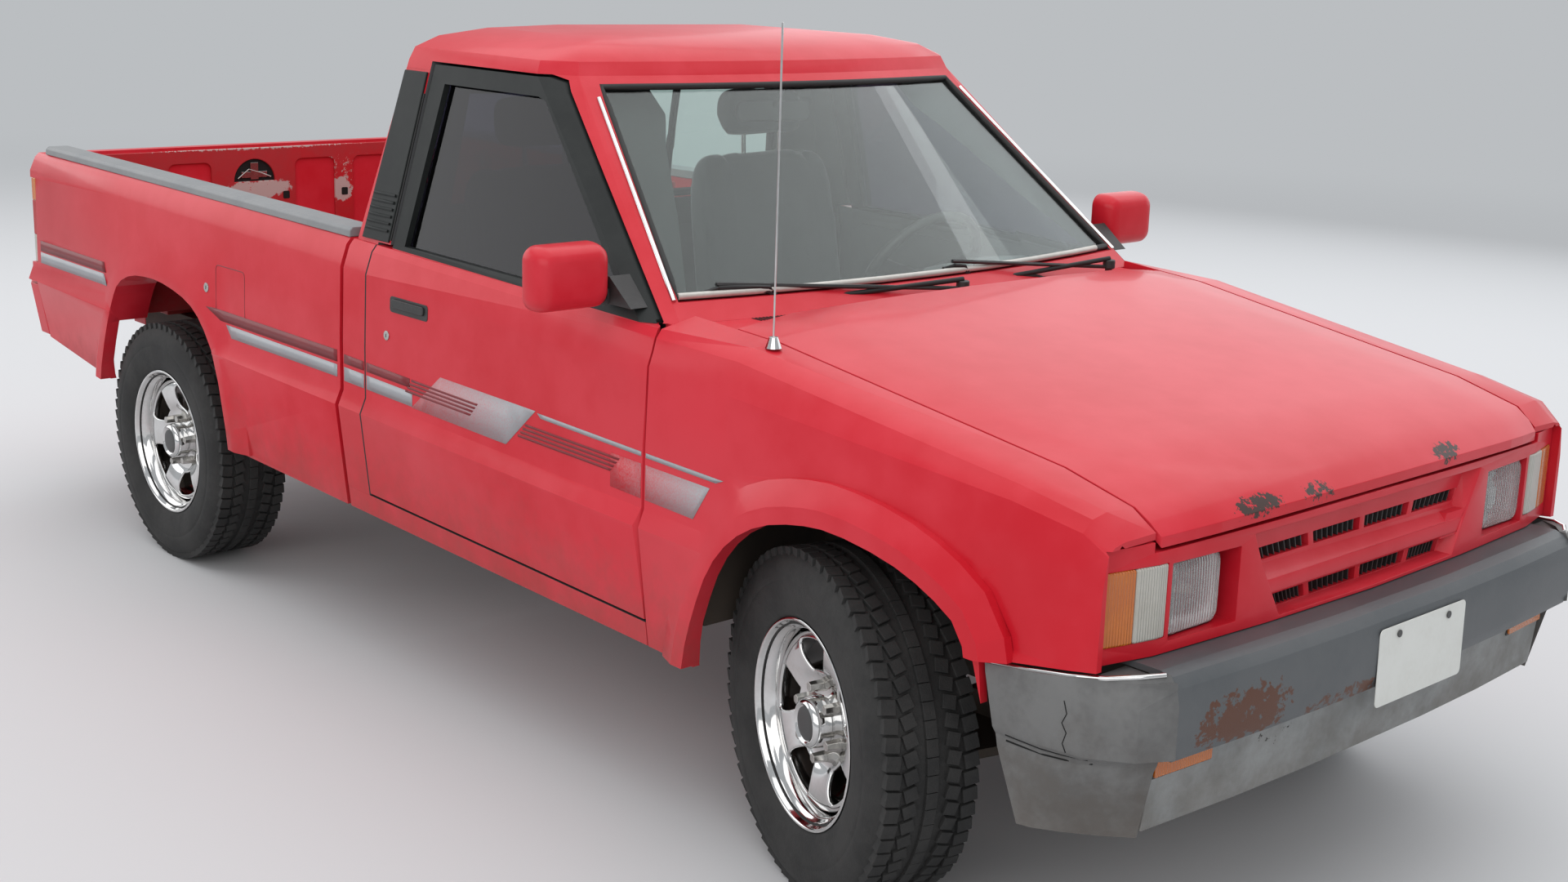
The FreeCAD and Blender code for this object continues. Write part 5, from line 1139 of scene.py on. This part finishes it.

# %% [markdown]
# On the bumper: a blank plate with two screws on a dark backing, amber turn lamps below it, the chrome bead
# along the top of each end cap, and the two grooves that run round the caps. The grooves and the old crack
# are thin lines of painted shade.

# %% Plate, turn lamps and end cap trim
PLATE_X, PLATE_Z, PLATE_WIDTH, PLATE_HEIGHT = 46, 539, 305, 152
SCREW_X, SCREW_UP = 88, 58
TURN_X, TURN_Z, TURN_WIDTH, TURN_HEIGHT = 592, 468, 150, 30
GROOVE_HEIGHTS, GROOVE_STATIONS = (497, 486), (-640, -600, -560, -520, -480)
BEAD = [(-722, 690), (-700, 730), (-660, 768), (-600, 790), (-520, 801), (-440, 803)]
CRACK = [(-600, 596), (-606, 574), (-598, 556), (-607, 540), (-601, 520), (-608, 505)]
plate_spot = place(PLATE_X, 0, PLATE_Z)
plate_spot.y = min(v.co.y for v in nodes["front_bumper"].data.vertices)
forwards = Vector((0, -1, 0.02))
on_bumper = (plate_spot, forwards)
stud("number_plate", "front_bumper", on_bumper, (PLATE_WIDTH, PLATE_HEIGHT, 11), (1.2, 3.0),
     "plate white", 0.5)
stud("plate_backing", "front_bumper", on_bumper, (PLATE_WIDTH - 30, PLATE_HEIGHT - 30, 8), (-4, 1.2),
     "black plastic")
for number, across in enumerate((-SCREW_X, SCREW_X)):
    screw = (plate_spot + Vector((across * MM, 0, SCREW_UP * MM)), forwards)
    stud(f"plate_screw_{number}", "front_bumper", screw, (7.5, 16), (2.8, 5.2), "hub dark", 1)
for side_name, side in SIDES:
    spot, normal = on_front("front_valance", side * TURN_X, TURN_Z)
    found = (spot, Vector((normal.x, normal.y, 0)).normalized())
    case = (TURN_WIDTH + 8, TURN_HEIGHT + 6, 4)
    stud("turn_lamp_case_" + side_name, "front_valance", found, case, (-12, 1), "black plastic", 1)
    lens = (TURN_WIDTH, TURN_HEIGHT, 4)
    stud("turn_lamp_" + side_name, "front_valance", found, lens, (0, 5), "amber lens", 1.5)

caps = "bumper_end_caps"
for side_name, side in SIDES:
    rim = [on_top(caps, side * (x - 7), s + 7)[0] + Vector((side * 5 * MM, -4 * MM, 0)) for s, x in BEAD]
    bar("cap_bead_" + side_name, caps, rim, 5, "chrome")
    for number, z in enumerate(GROOVE_HEIGHTS):
        groove = [lifted(on_side(caps, side, s, z), -0.6) for s in GROOVE_STATIONS]
        bar(f"cap_groove_{side_name}_{number}", caps, groove, 2.0, "painted hole shade", 6, angle=28)
crack = [lifted(on_side(caps, -1, s, z), -0.3) for s, z in CRACK]
bar("cap_crack", caps, crack, 1.3, "painted hole shade", 5, angle=28)
print("bumper dressed")

# %% [markdown]
# Air enters the cab through rows of narrow slots in the cowl. They are many and alike, so rays find a point
# on the cowl for each, and a geometry tree stands one thin bar on every point before it is baked to a mesh.
# Each bar is painted shade, a near-black stand-in for the inside of a slot.

# %% Cowl slots
SLOT_SPACING = 9
SLOT_LINES = [
    # first half-width, number of slots, station
    (-560, 34, 470), (-170, 38, 452), (270, 34, 466),
]
bars = Group("Bars on points", "GeometryNodeTree", {"Points": "shape", "Length": 0.03, "Width": 0.0036,
                                                    "Height": 0.002, "Finish": "finish"}, {"Bars": "shape"})
sizes = bars.add("ShaderNodeCombineXYZ", {"X": bars["Width"], "Y": bars["Length"], "Z": bars["Height"]})
slat = bars.add("GeometryNodeMeshCube", {"Size": sizes})
row = bars.add("GeometryNodeInstanceOnPoints", {"Points": bars["Points"], "Instance": slat})
coated(bars, row, "Finish")

spots = [lifted(on_top("cowl_firewall hood", start + SLOT_SPACING * number, station), 0.2)
         for start, count, station in SLOT_LINES for number in range(count)]
dots = bpy.data.meshes.new("slot places")
dots.from_pydata([tuple(spot) for spot in spots], [], [])
slot_mesh = baked(bars, {"Length": 0.030, "Width": 0.0036, "Height": 0.002,
                         "Finish": finishes["painted hole shade"][0]}, dots)
new_piece("cowl_slots", slot_mesh, "cowl_firewall", "painted hole shade")
print("cowl slots", len(spots))

# %% [markdown]
# The stripes on the sides are thin films. Each is drawn as an outline of stations and heights, cut into
# small squares, and laid on the panel by rays, so that it follows the panel's bends. A stripe that crosses
# a gap is drawn once for each panel and cut at the panel's ends. Both sides carry the same stripes.

# %% Film helper
FILM_STEP = 45
PANEL_ENDS = {"fender": (-640, 503), "door": (518, 1596), "cab_back": (1609, 1702), "bed_side": (1736, 3562)}


def cut_at(work, station, **cleared):
    bmesh.ops.bisect_plane(work, geom=everything(work), dist=1e-6, plane_co=(0, station, 0), **cleared)


def film(name, node, side, outline, finish_name, lift=0.9):
    """Lays a film of an outline of (station, height) on the outer side of a CAD node."""
    ends = next(limits for panel, limits in PANEL_ENDS.items() if node.startswith(panel))
    work = bmesh.new()
    work.faces.new([work.verts.new((0, s, z)) for s, z in outline])
    for edge, way in zip(ends, (-1, 1)):
        cut_at(work, edge, plane_no=(0, way, 0), clear_outer=True)
    if not work.faces:
        return 0
    stations = [v.co.y for v in work.verts]
    cut = math.ceil(min(stations) / FILM_STEP) * FILM_STEP
    while cut < max(stations):
        cut_at(work, cut, plane_no=(0, 1, 0))
        cut += FILM_STEP
    for v in work.verts:
        v.co = on_side(node, side, v.co.y, v.co.z)[0] + Vector((side * lift * MM, 0, 0))
    thickened(new_piece(name, faced(work, side), node, finish_name), 1.2)
    return 1


# %% [markdown]
# The table lists every stripe: which panels it crosses, its outline and its finish. The groups of four dark
# pinstripes come from a loop over their heights.

# %% Stripes
STRIPES = [
    # panels, outline of (station, height), finish
    (("bed_side",), [(3556, 793), (3092, 791), (3070, 757), (3556, 759)], "stripe grey"),
    (("bed_side",), [(3556, 829), (3086, 826), (3078, 795), (3556, 797)], "stripe dark"),
    (("bed_side",), [(2322, 762), (1730, 757), (1730, 726), (2292, 729)], "stripe grey"),
    (("bed_side",), [(2420, 798), (1730, 794), (1730, 764), (2352, 768)], "stripe dark"),
    (("cab_back", "door"), [(1716, 757), (1390, 750), (1390, 716), (1716, 722)], "stripe grey"),
    (("cab_back", "door"), [(1716, 789), (1400, 782), (1400, 760), (1716, 766)], "stripe dark"),
    (("door",), [(1268, 809), (890, 803), (1002, 706), (1392, 714)], "stripe to the rear"),
    (("door", "fender"), [(884, 800), (262, 785), (284, 776), (870, 790)], "stripe grey"),
    (("door", "fender"), [(620, 768), (302, 762), (350, 688), (620, 696)], "stripe to the front"),
]
PIN_GROUPS = [
    # first station, last station, top height
    (1392, 1112, 781), (928, 588, 767),
]
PIN_LINES, PIN_DROP, PIN_SHIFT, PIN_LIFT, PIN_WIDTH, PIN_SLOPE, PIN_SLANT = 4, 9.5, 9, 1.3, 5.2, 5, 6
count = 0
for side_name, side in SIDES:
    for number, (panels, outline, finish_name) in enumerate(STRIPES):
        for panel in panels:
            node = panel if panel == "cab_back" else f"{panel}_{side_name}"
            count += film(f"stripe_{number}_{node}_{side_name}", node, side, outline, finish_name)
    for group, (s0, s1, top) in enumerate(PIN_GROUPS):
        for line in range(PIN_LINES):
            high, shift = top - line * PIN_DROP, line * PIN_SHIFT
            outline = [(s0 + shift, high), (s1 + shift, high - PIN_SLOPE),
                       (s1 + shift + PIN_SLANT, high - PIN_SLOPE - PIN_WIDTH),
                       (s0 + shift, high - PIN_WIDTH)]
            count += film(f"pinstripe_{group}_{line}_{side_name}", "door_" + side_name, side, outline,
                          "stripe dark", PIN_LIFT)
print(count, "stripe films")

# %% [markdown]
# The fuel door is a pressed panel in the right side of the bed, so only its thin gap and its lock show.

# %% Fuel door
FUEL_S, FUEL_Z, FUEL_WIDTH, FUEL_HEIGHT, FUEL_LOCK_S, FUEL_LOCK_Z = 2296, 850, 162, 134, 2432, 847
fuel_side = "bed_side_right"
gap_line = [lifted(on_side(fuel_side, -1, s, z), -0.6)
            for s, z in shifted(rounded_box(FUEL_WIDTH, FUEL_HEIGHT, 14, 4), FUEL_S, FUEL_Z)]
bar("fuel_door_gap", fuel_side, gap_line, 1.7, "stripe dark", 6, closed=True, angle=28)
found = on_side(fuel_side, -1, FUEL_LOCK_S, FUEL_LOCK_Z)
stud("fuel_lock", fuel_side, found, (13, 28), (-3, 2.5), "dull chrome", 0.8)
# The key slot is a small block of painted shade.
stud("fuel_key_slot", fuel_side, found, (2.4, 10, 1, 2), (2, 2.9), "painted hole shade")

# %% [markdown]
# Inside the bed, upright ribs part the pressed panels, and each rib has small square holes, drawn as squares
# of painted shade. Over the wheel the ribs start higher. The floor has wide lengthwise ribs.

# %% Bed ribs and holes
BED_RIBS = [1805, 2075, 2345, 2560, 2890, 3150, 3400]
BED_WALL, RIB_HALF_WIDTH, RIB_TOP = 715, 26, 1062
WHEELHOUSE_START, WHEELHOUSE_END, WHEELHOUSE_TOP, BED_FLOOR = 2321, 3121, 905, 700
HOLES, HOLES_OVER_WHEEL, HOLE = (1015, 905, 790), (1015, 955), (22, 26, 4, 2)
FLOOR_RIBS, FLOOR_RIB_SPACING, FLOOR_RIB_HALF, BED_START, BED_END = 9, 112, 32, 1790, 3560
for side_name, side in SIDES:
    ribs, holes = [], []
    for s in BED_RIBS:
        over_wheel = WHEELHOUSE_START < s + RIB_HALF_WIDTH and s - RIB_HALF_WIDTH < WHEELHOUSE_END
        low_z = WHEELHOUSE_TOP if over_wheel else BED_FLOOR
        ribs.append(lofted([[place(side * x, s + a, z) for a, z in (
            (-half, low_z), (-half, RIB_TOP), (half, RIB_TOP), (half, low_z))]
            for x, half in ((BED_WALL + 9, RIB_HALF_WIDTH + 6), (BED_WALL - 6, RIB_HALF_WIDTH - 4))]))
        for z in HOLES_OVER_WHEEL if over_wheel else HOLES:
            spot = place(side * (BED_WALL - 6), s, z)
            holes.append(standing(rounded_box(*HOLE), spot, Vector((-side, 0, 0)), -1, 0.8))
    new_piece("bed_wall_ribs_" + side_name, as_one(ribs), "bed_side_" + side_name, "bed paint", 3)
    new_piece("bed_wall_holes_" + side_name, as_one(holes), "bed_side_" + side_name, "painted hole shade")

floor_z = on_top("bed_floor", 0, 2500)[0].z / MM
middles = [(number - (FLOOR_RIBS - 1) / 2) * FLOOR_RIB_SPACING for number in range(FLOOR_RIBS)]
ribs = [block(x - FLOOR_RIB_HALF, x + FLOOR_RIB_HALF, BED_START, BED_END, floor_z - 2, floor_z + 7)
        for x in middles]
new_piece("bed_floor_ribs", as_one(ribs), "bed_floor", "bed paint", 5)

# %% [markdown]
# The inside of the tailgate is a pressed plate with rounded pockets. The latch sits in an opening with a
# round top, and small square holes are punched between the pockets. The paint there is worn through in
# places. The round-topped opening and the holes are backed with painted shade.

# %% Inside of the tailgate
low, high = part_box("tailgate")
GATE_FACE = (low[1] - FRONT_AXLE_Y) / MM
GATE_BACK = (high[1] - FRONT_AXLE_Y) / MM
PLATE_FACE = GATE_FACE - 8
POCKETS, POCKET_FOOT, POCKET_HEIGHT, POCKET_WIDTH = (-547, -309, 145, 366, 585), 758, 282, 150
GATE_PLATE = [(-672, 708), (672, 708), (672, 1084), (-672, 1084)]
PUNCHED, PUNCHED_Z = (34, 256, 476, -196, -430), 920
LATCH_X, LATCH_Z, LATCH_RADIUS = -80, 972, 74
LATCH_ROD = ((-60, 982), (-20, 1012), (24, 998), (60, 984))


def pierced(outer, holes, front, back):
    """Plate across the truck between two stations, with an outer outline and holes, all of (x, z)."""
    work = bmesh.new()
    rings = [[work.verts.new(place(x, front, z)) for x, z in outline] for outline in (outer, *holes)]
    rims = [pair for ring in rings for pair in zip(ring, ring[1:] + ring[:1])]
    for pair in rims:
        work.edges.new(pair)
    bmesh.ops.triangle_fill(work, edges=work.edges[:], use_beauty=True)
    depth = Vector((0, (back - front) * MM, 0))
    behind = {corner: work.verts.new(corner.co + depth) for corner in work.verts[:]}
    for face in work.faces[:]:
        work.faces.new([behind[corner] for corner in face.verts])
    for start, end in rims:
        work.faces.new((start, end, behind[end], behind[start]))
    return to_mesh(work)


latch_arch = [(LATCH_X + LATCH_RADIUS * math.cos(a), LATCH_Z + LATCH_RADIUS * math.sin(a))
              for a in [math.pi * i / 16 for i in range(17)]]
pocket = rounded_box(POCKET_WIDTH, POCKET_HEIGHT, 24)
openings = [shifted(pocket, x, POCKET_FOOT + POCKET_HEIGHT / 2) for x in POCKETS]
openings += [latch_arch, shifted(rounded_box(140, 150, 18), LATCH_X, 835)]
plate = pierced(GATE_PLATE, openings, PLATE_FACE, GATE_FACE + 1)
new_piece("tailgate_inner_plate", plate, "tailgate", "worn paint", 2.5, 40)
marks = [standing(rounded_box(24, 26, 4, 2), place(x, PLATE_FACE, PUNCHED_Z), Vector((0, -1, 0)), -1, 0.8)
         for x in PUNCHED]
marks.append(lofted([[place(x, s, z) for x, z in latch_arch] for s in (GATE_FACE - 1.5, GATE_FACE + 0.5)]))
new_piece("tailgate_openings", as_one(marks), "tailgate", "painted hole shade")
latch = [block(LATCH_X - 46, LATCH_X + 46, GATE_FACE - 6, GATE_FACE, 984, 1004),
         block(LATCH_X - 14, LATCH_X + 14, GATE_FACE - 7, GATE_FACE, 978, 1034),
         tube([place(LATCH_X + x, GATE_FACE - 5, z) for x, z in LATCH_ROD], 3)]
new_piece("tailgate_latch", as_one(latch), "tailgate", "dull chrome", 1.5, 40)

HANDLE_DOWN = 105
handle_z = high[2] / MM - HANDLE_DOWN
backwards = Vector((0, 1, 0))
cup = (place(0, GATE_BACK - 17, handle_z), backwards)
stud("tailgate_handle_cup", "tailgate", cup, (150, 50, 8), (0, 8), "black plastic", 2)
grip = (place(0, GATE_BACK - 9, handle_z + 6), backwards)
stud("tailgate_handle", "tailgate", grip, (118, 26, 8), (0, 10), "black plastic", 3)
print("bed dressed")

# %% [markdown]
# The seats are padded. Each cushion is a loft of one side outline, narrowed towards its ends and pinched
# where the seams run. A Subdivision modifier then rounds it into upholstery.

# %% Seats
SEAT_MIDDLE, SEAT_BASE_HALF = 355, 190
CUSHION = [
    (985, 500), (975, 600), (985, 680), (1020, 716), (1120, 722), (1260, 706), (1390, 684), (1420, 640),
    (1430, 560), (1420, 500), (1300, 492), (1100, 492),
]
BACKREST = [
    (1404, 640), (1392, 720), (1410, 850), (1430, 980), (1448, 1100), (1468, 1210), (1492, 1250),
    (1528, 1252), (1552, 1222), (1540, 1100), (1505, 880), (1468, 680), (1440, 640),
]
HEADREST = [
    (1482, 1296), (1480, 1350), (1492, 1405), (1512, 1424), (1544, 1420), (1560, 1390), (1556, 1330),
    (1540, 1292),
]
POST_ENDS, SEAT_BASE = ((1512, 1225), (1518, 1320)), (1020, 1400, 484, 500)
SEAT_PARTS = (("cushion", CUSHION, 236, (-150, 150)), ("backrest", BACKREST, 232, (-145, 145)),
              ("headrest", HEADREST, 132, ()))


def pillow(outline, middle, half, seams):
    """Padded shape across the truck: full between its seams, pinched at them, and round at its ends."""
    centre_s = sum(s for s, z in outline) / len(outline)
    centre_z = sum(z for s, z in outline) / len(outline)
    stops = [(-half, 0.60), (-half + 6, 0.86), (-half + 26, 0.985)]
    for seam in seams:
        stops += [(seam - 16, 1.0), (seam - 3, 0.968), (seam + 3, 0.968), (seam + 16, 1.0)]
    stops += [(half - 26, 0.985), (half - 6, 0.86), (half, 0.60)]
    rings = []
    for across, scale in stops:
        rings.append([place(middle + across, centre_s + (s - centre_s) * scale,
                            centre_z + (z - centre_z) * scale) for s, z in outline])
    return lofted(rings)


for side_name, side in SIDES:
    middle = side * SEAT_MIDDLE
    for part, outline, half, seams in SEAT_PARTS:
        mesh = pillow(outline, middle, half, seams)
        pad = new_piece(f"seat_{part}_{side_name}", mesh, "seats", "seat cloth", angle=80)
        subdivided(pad)
        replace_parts(pad, "seats")
    posts = [tube([place(middle + x, *end) for end in POST_ENDS], 6) for x in (-60, 60)]
    new_piece("headrest_posts_" + side_name, as_one(posts), "seats", "dull chrome", angle=60)
    base = block(middle - SEAT_BASE_HALF, middle + SEAT_BASE_HALF, *SEAT_BASE)
    new_piece("seat_base_" + side_name, base, "seats", "black plastic", 6)

# %% [markdown]
# The dashboard gets a hooded instrument binnacle, vents, a glove box line and a radio slot. The steering
# wheel keeps its CAD shape under a rounded edge. A carpet covers the cab floor, and a mirror hangs from the
# roof.

# %% Dashboard and controls
BINNACLE = [(800, 985), (760, 1052), (700, 1068), (600, 1060), (585, 1030), (790, 975)]
BINNACLE_ROWS = ((200, 40, 26), (225, 12, 4), (370, 0, 0), (515, 12, 4), (540, 40, 26))
ON_DASHBOARD = [
    # name, half-width, height, outline, how far it stands out, finish, edge radius
    *[(f"vent_{number}", x, 965, (120, 52, 8), 5, "black plastic", 2)
      for number, x in enumerate((-560, -90, 110, 590))],
    # The radio slot is a block of painted shade.
    ("radio", 10, 870, (186, 56, 5), 4, "painted hole shade", 1),
    ("glove_box", -380, 880, (330, 120, 12), 3, "dash vinyl", 2),
]
CARPETS, CARPET_THICK = ((-660, -190), (190, 660)), 8
KNOB_ROWS = ((712, 8), (720, 20), (738, 25), (756, 21), (764, 8))
LEVER = ((20, 960, 480), (24, 985, 620), (30, 1000, 720))
refined("steering_wheel", "black plastic", 3, 75, 3)
binnacle = lofted([[place(x, s - shift, z - drop) for s, z in BINNACLE] for x, shift, drop in BINNACLE_ROWS])
new_piece("binnacle", binnacle, "dashboard", "dash vinyl", 10, 40, 3)
for name, x, z, outline, depth, finish_name, bevel in ON_DASHBOARD:
    found = hit("dashboard", place(x, 1500, z), (0, -1, 0))
    stud(name, "dashboard", found, outline, (-2, depth), finish_name, bevel)
carpet_z = on_top("cab_floor", 300, 1200)[0].z / MM
carpets = [block(x0, x1, 470, 1560, carpet_z, carpet_z + CARPET_THICK) for x0, x1 in CARPETS]
new_piece("carpet", as_one(carpets), "cab_floor", "floor carpet", 3)
stud("inner_mirror", CAB, (place(0, 1068, 1408), Vector((0.12, 1, -0.12))), (215, 52, 18), (-9, 9),
     "black plastic", 5)
bar("inner_mirror_stalk", CAB, [place(0, 1030, 1470), place(0, 1062, 1420)], 6, "black plastic", angle=28)
bar("gear_lever", "cab_floor", [place(*spot) for spot in LEVER], 8, "black plastic", 10)
knob = lofted([[place(30 + a, 1000 + b, z) for a, b in circle_outline(radius, 16)]
               for z, radius in KNOB_ROWS])
new_piece("gear_knob", knob, "cab_floor", "black plastic", angle=60)
print("cab dressed")

# %% [markdown]
# The truck stands on a plain pale floor, which isn't part of the object. Far from the
# truck the floor takes on the world's own pale colour, so that hardly any horizon shows.

# %% Floor
WORLD_COLOUR, WORLD_STRENGTH = (0.80, 0.83, 0.86, 1), 0.62
FLOOR_COLOUR, NO_COLOUR = (0.62, 0.62, 0.63, 1), (0, 0, 0, 1)
FLOOR_REACH, FADE_START, FADE_END = 60.0, 5.0, 14.0
pale = bpy.data.materials.new("pale floor")
pale.use_nodes = True
recipe = Recipe(pale.node_tree)
reach = recipe.vector_sum("LENGTH", recipe.position(), output="Value")
far = recipe.ramp(reach, FADE_START, FADE_END, "SMOOTHSTEP")
recipe.fill(pale.node_tree.nodes["Principled BSDF"].inputs, {
    "Base Color": recipe.mix(far, FLOOR_COLOUR, NO_COLOUR), "Roughness": 0.8, "Specular IOR Level": 0,
    "Emission Color": recipe.mix(far, NO_COLOUR, WORLD_COLOUR), "Emission Strength": WORLD_STRENGTH})
floor_mesh = bpy.data.meshes.new("floor")
corners = [(x * FLOOR_REACH, y * FLOOR_REACH, 0) for x, y in ((-1, -1), (1, -1), (1, 1), (-1, 1))]
floor_mesh.from_pydata(corners, [], [(0, 1, 2, 3)])
floor_mesh.materials.append(pale)
floor = bpy.data.objects.new("floor", floor_mesh)
bpy.context.scene.collection.objects.link(floor)

# %% [markdown]
# Large area lights stand in for an overcast sky: one broad sheet above, a softer one on the camera's side,
# and a low one behind for the outline of the roof and bed. The world adds an even pale fill.

# %% Lights
LIGHTS = [
    # name, watts, size, place, what it looks at, colour
    ("sky sheet", 520, (12, 12), (0.5, 0.3, 7.5), (0, 0, 0.4), (1, 1, 1)),
    ("camera side", 330, (12, 6), (-7.5, -5.5, 4.6), (0, 0, 0.7), (1.0, 0.98, 0.96)),
    ("far side", 250, (13, 6.5), (8.0, 1.5, 4.2), (0, 0, 0.8), (0.95, 0.98, 1.0)),
    ("behind", 210, (10, 5), (-3.5, 8.5, 4.0), (0, 0.5, 0.8), (1, 1, 1)),
]
for name, watts, size, spot, target, colour in LIGHTS:
    data = bpy.data.lights.new(name, "AREA")
    data.shape = "RECTANGLE"
    data.size, data.size_y = size
    data.energy = watts
    data.color = colour
    lamp = bpy.data.objects.new(name, data)
    lamp.location = spot
    lamp.rotation_euler = (Vector(target) - Vector(spot)).to_track_quat("-Z", "Y").to_euler()
    bpy.context.scene.collection.objects.link(lamp)
world = bpy.data.worlds.new("pale world")
bpy.context.scene.world = world
world.use_nodes = True
Recipe(world.node_tree).fill(world.node_tree.nodes["Background"].inputs,
                             {"Color": WORLD_COLOUR, "Strength": WORLD_STRENGTH})
bpy.context.scene.view_settings.view_transform = "Standard"

# %% [markdown]
# The camera stands where the photographer stood. Its place and angles were worked out from the wheels, the
# plate and the body's straight lines. The photograph was cropped a little off centre, hence the small shift.

# %% Camera
EYE = place(-3230.7, -2556.2, 1802.5)
YAW, PITCH, ROLL = math.radians(43.45), math.radians(13.33), math.radians(2.00)
FOCAL_PIXELS, FRAME_WIDTH, FRAME_HEIGHT, SENSOR = 2418.8, 1920, 1080, 36
CENTRE_X, CENTRE_Y = 1006.8, 508.0
forward = Vector((math.sin(YAW) * math.cos(PITCH), math.cos(YAW) * math.cos(PITCH), -math.sin(PITCH)))
level_right = Vector((math.cos(YAW), -math.sin(YAW), 0))
level_up = level_right.cross(forward)
right = math.cos(ROLL) * level_right + math.sin(ROLL) * level_up
up = -math.sin(ROLL) * level_right + math.cos(ROLL) * level_up
camera_data = bpy.data.cameras.new("camera")
camera_data.sensor_width = SENSOR
camera_data.lens = FOCAL_PIXELS / FRAME_WIDTH * SENSOR
camera_data.shift_x = (FRAME_WIDTH / 2 - CENTRE_X) / FRAME_WIDTH
camera_data.shift_y = (CENTRE_Y - FRAME_HEIGHT / 2) / FRAME_WIDTH
camera_data.clip_start = 0.05
camera = bpy.data.objects.new("camera", camera_data)
camera.matrix_world = Matrix.Translation(EYE) @ Matrix((right, up, -forward)).transposed().to_4x4()
bpy.context.scene.collection.objects.link(camera)
bpy.context.scene.camera = camera
